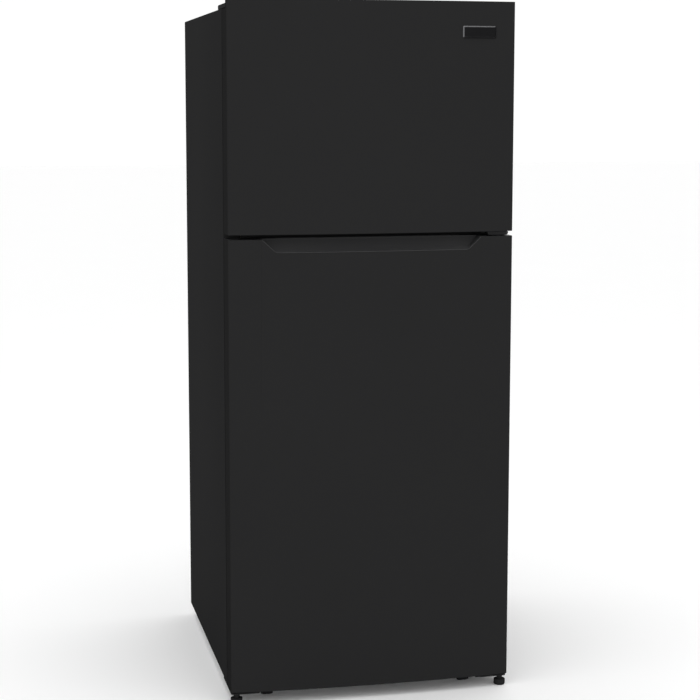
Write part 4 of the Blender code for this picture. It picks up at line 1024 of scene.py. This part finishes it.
def control_details():
    """Ticks round the temperature knob, a pointer on it, and louvres under the housing."""
    low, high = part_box("temperature_knob")
    centre = ((low.x + high.x) / 2, (low.z + high.z) / 2)
    housing_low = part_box("control_housing")[0]
    refine("control_housing", 0.0015, 3)
    refine("temperature_knob", 0.0006, 2)
    face = housing_low.y
    ticks = bmesh.new()
    for index in range(7):
        angle = math.radians(-135 + 45 * index)
        outline = []
        for reach, offset in ((0.0180, -0.0005), (0.0205, -0.0005), (0.0205, 0.0005), (0.0180, 0.0005)):
            x = centre[0] + reach * math.sin(angle) + offset * math.cos(angle)
            z = centre[1] + reach * math.cos(angle) - offset * math.sin(angle)
            outline.append((x, z))
        add_prism(ticks, outline, "Y", face - 0.0004, face + 0.0002)
    new_piece("knob_ticks", ticks, "seal_rubber", "cabinet")
    pointer = [(-0.0006, 0.006), (0.0006, 0.006), (0.0006, 0.014), (-0.0006, 0.014)]
    pointer = [(centre[0] + x, centre[1] + z) for x, z in pointer]
    mark = prism(pointer, "Y", low.y - 0.0003, low.y + 0.0002)
    new_piece("knob_pointer", mark, "seal_rubber", "temperature_knob")
    louvres = bmesh.new()
    for index in range(8):
        y = face + 0.094 + index * 0.006
        z = housing_low.z + 0.014 * (index * 0.006 + 0.004) / 0.060
        outline = [(-0.09, y), (0.09, y), (0.09, y + 0.0022), (-0.09, y + 0.0022)]
        add_prism(louvres, outline, "Z", z - 0.0007, z + 0.001)
    new_piece("housing_louvres", louvres, "white_plastic", "cabinet")


def air_duct():
    """The shallow panel up the back of the lower compartment, with its air outlets."""
    for bottom, top in ((0.540, 0.700), (0.740, 0.880)):
        outline = rounded_rectangle(-0.070, bottom, 0.070, top, 0.012, 6)
        slots = []
        for index in range(3):
            z = (bottom + top) / 2 - 0.026 + index * 0.026
            slot = rounded_rectangle(-0.045, z - 0.005, 0.045, z + 0.005, 0.004, 4)
            slots.append(prism(slot, "Y", DUCT_BACK - 0.02, DUCT_BACK + 0.02))
        panel = carve(prism(outline, "Y", DUCT_BACK - 0.007, DUCT_BACK - 0.0004), slots)
        tidy(panel)
        round_edges(panel, 0.0012, 2)
        new_piece("air_duct", panel, "white_plastic", "cabinet")


def drawer():
    """The crisper: clear walls with soft edges, and ribs across its front."""
    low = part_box("crisper_drawer")[0]
    refine("crisper_drawer", 0.0009, 2)
    for index in range(5):
        z = low.z + 0.030 + index * 0.026
        outline = rounded_rectangle(-0.200, z - 0.002, 0.200, z + 0.002, 0.0015, 3)
        rib = prism(outline, "Y", DRAWER_FACE - 0.0010, DRAWER_FACE + 0.0002)
        new_piece("drawer_rib", rib, "clear_plastic", "crisper_drawer")


# ---- machinery -------------------------------------------------------------------------------
def compressor():
    """The welded shell with its seam, on a bolted plate with rubber grommets."""
    low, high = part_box("compressor")
    centre = Vector(((low.x + high.x) / 2, (low.y + high.y) / 2, 0.0))
    radius = COMPRESSOR_RADIUS
    bottom = high.z - COMPRESSOR_HEIGHT
    profile = [(0.02, bottom)]
    for step in range(9):
        angle = math.radians(90 * step / 8)
        profile.append((radius * (0.72 + 0.28 * math.sin(angle)), bottom + 0.040 * (1 - math.cos(angle))))
    profile += [(radius, bottom + 0.087), (radius + 0.0015, bottom + 0.0885)]
    profile += [(radius + 0.003, bottom + 0.0905)]
    profile += [(radius + 0.003, bottom + 0.0935), (radius + 0.001, bottom + 0.096)]
    for step in range(1, 13):
        angle = math.radians(90 * step / 12)
        profile.append((max(radius * math.cos(angle), 0.006), bottom + 0.097 + 0.064 * math.sin(angle)))
    shell = loft(ring_points(profile, 64))
    bmesh.ops.translate(shell, vec=centre, verts=shell.verts)
    new_piece("compressor_shell", shell, "compressor_paint", "cabinet", ("compressor",), 40)
    plate_low = bottom - 0.004
    outline = rounded_rectangle(low.x, low.y, high.x, high.y, 0.012, 6)
    plate = prism(outline, "Z", plate_low, bottom + 0.001)
    round_edges(plate, 0.0008, 2)
    new_piece("compressor_plate", plate, "compressor_paint", "cabinet")
    for x_side in (-1, 1):
        for y_side in (-1, 1):
            place = centre + Vector((x_side * 0.082, y_side * 0.054, 0))
            foot = [(0.010, low.z), (0.0105, low.z + 0.002), (0.0085, low.z + 0.005), (0.0105, low.z + 0.008)]
            foot += [(0.010, plate_low), (0.004, plate_low)]
            grommet = loft(ring_points(foot, 24))
            bmesh.ops.translate(grommet, vec=(place.x, place.y, 0), verts=grommet.verts)
            new_piece("compressor_grommet", grommet, "seal_rubber", "cabinet")
            screw("compressor_bolt", (place.x, place.y, bottom + 0.001), "+Z", 0.005)


def pipes():
    """Copper lines in the machine space, and the hose that drains into the tray."""
    body = "cabinet"
    suction = [(-0.066, 0.262, 0.150), (-0.052, 0.278, 0.175), (-0.045, 0.285, 0.215), (-0.045, 0.262, 0.252)]
    tube("suction_tube", suction, 0.004, "copper", body, 8)
    dryer_low, dryer_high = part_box("filter_dryer")
    x = (dryer_low.x + dryer_high.x) / 2
    y = (dryer_low.y + dryer_high.y) / 2
    coil = []
    for step in range(49):
        angle = math.tau * step / 16
        coil.append((x + 0.050 + 0.018 * math.cos(angle), y + 0.018 * math.sin(angle), 0.085 + step * 0.0006))
    capillary = [(x, y, dryer_low.z + 0.002), (x + 0.004, y, dryer_low.z - 0.012)]
    capillary += [(x + 0.024, y - 0.010, 0.086)]
    tube("capillary", capillary + coil[9:], 0.0011, "copper", body, 3)
    rise = [(x, y, dryer_high.z - 0.002), (x + 0.002, y + 0.001, dryer_high.z + 0.012)]
    rise += [(x + 0.016, y + 0.004, 0.252)]
    tube("dryer_pipe", rise, 0.0026, "copper", body, 6)
    tray_low, tray_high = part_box("drip_tray")
    drain_x = (tray_low.x + tray_high.x) / 2 + 0.010
    drain_y = (tray_low.y + tray_high.y) / 2 - 0.010
    hose = [(drain_x, drain_y, 0.252), (drain_x, drain_y, 0.180)]
    hose += [(drain_x - 0.004, drain_y + 0.004, 0.110), (drain_x - 0.004, drain_y + 0.004, 0.062)]
    tube("drain_hose", hose, 0.0075, "seal_rubber", body, 6)


def evaporator_tubes():
    low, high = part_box("evaporator")
    spans = []
    for index in range(7):
        z = low.z + 0.015 + index * 0.025
        spans.append(((low.x - 0.006, low.y + 0.012, z), (high.x + 0.006, low.y + 0.012, z)))
    round_bars("evaporator_tubes", spans, 0.004, "aluminium", "cabinet")


PLAIN_NODES = [
    "cabinet_shell", "mullion_cover", "base_pan", "top_hinge", "top_hinge_cover", "left_top_cover",
    "middle_hinge", "bottom_hinge", "left_foot_bracket", "evaporator_cover", "lamp_lens", "freezer_control",
    "fan", "fan_motor", "compressor_terminal_cover", "drip_tray", "cord_gland", "fridge_door_bottom_cap",
]


def refine_plain_nodes():
    for node in PLAIN_NODES:
        refine(node, 0.0004, 2)
    for node in ("freezer_liner", "fridge_liner", "freezer_door_liner", "fridge_door_liner"):
        refine(node, 0.0006, 2)
    for side in ("front_left", "front_right", "rear_left", "rear_right"):
        refine("roller_" + side, 0.0002, 2)


# ---- stage, light and camera -----------------------------------------------------------------
def stage():
    bm = prism([(-30, -30), (30, -30), (30, 30), (-30, 30)], "Z", -0.05, 0.0)
    mesh = bpy.data.meshes.new("floor")
    bm.to_mesh(mesh)
    bm.free()
    floor = bpy.data.objects.new("floor", mesh)
    floor.data.materials.append(LOOKS["floor_paint"])
    bpy.context.scene.collection.objects.link(floor)


def area_light(name, place, target, size, power):
    data = bpy.data.lights.new(name, "AREA")
    data.shape = "RECTANGLE"
    data.size, data.size_y = size
    data.energy = power
    light = bpy.data.objects.new(name, data)
    light.location = place
    light.rotation_euler = (Vector(target) - Vector(place)).to_track_quat("-Z", "Y").to_euler()
    bpy.context.scene.collection.objects.link(light)


def lights():
    world = bpy.data.worlds.new("studio")
    bpy.context.scene.world = world
    world.use_nodes = True
    sky = world.node_tree.nodes["Background"]
    sky.inputs["Color"].default_value = (1.0, 1.0, 1.0, 1.0)
    sky.inputs["Strength"].default_value = 1.02
    area_light("front", (-0.5, -6.0, 1.0), (0, 0, 0.7), (4.0, 2.4), 70)
    area_light("top", (0.0, -0.4, 3.4), (0, 0, 0.7), (2.5, 2.5), 20)


def camera():
    data = bpy.data.cameras.new("camera")
    data.lens = 87.5
    data.sensor_width = 36.0
    data.shift_x = 0.0214
    data.shift_y = -0.05
    view = bpy.data.objects.new("camera", data)
    view.location = (-0.8045, -3.7147, 1.2505)
    view.rotation_euler = (math.radians(90 - 7.155), 0, math.radians(-12.08))
    bpy.context.scene.collection.objects.link(view)
    bpy.context.scene.camera = view
    bpy.context.scene.view_settings.view_transform = "Standard"


def dress_nodes():
    """Better materials for the CAD nodes that stay as they are."""
    for node, thing in NODES.items():
        thing.data.materials.clear()
        thing.data.materials.append(look_for(node))


camera()
stage()
lights()
dress_nodes()
door_panels()
lower_door_cap()
upper_door_caps()
scoop_painted_highlight()
middle_hinge_fittings()
badge()
refine_plain_nodes()
back_sheet()
machine_space()
cover_screws()
seal("freezer_door_gasket")
seal("fridge_door_gasket")
levelling_foot("foot_right")
levelling_foot("foot_left")
wire_shelf()
shelf_trims()
door_bins()
control_details()
air_duct()
drawer()
compressor()
pipes()
evaporator_tubes()
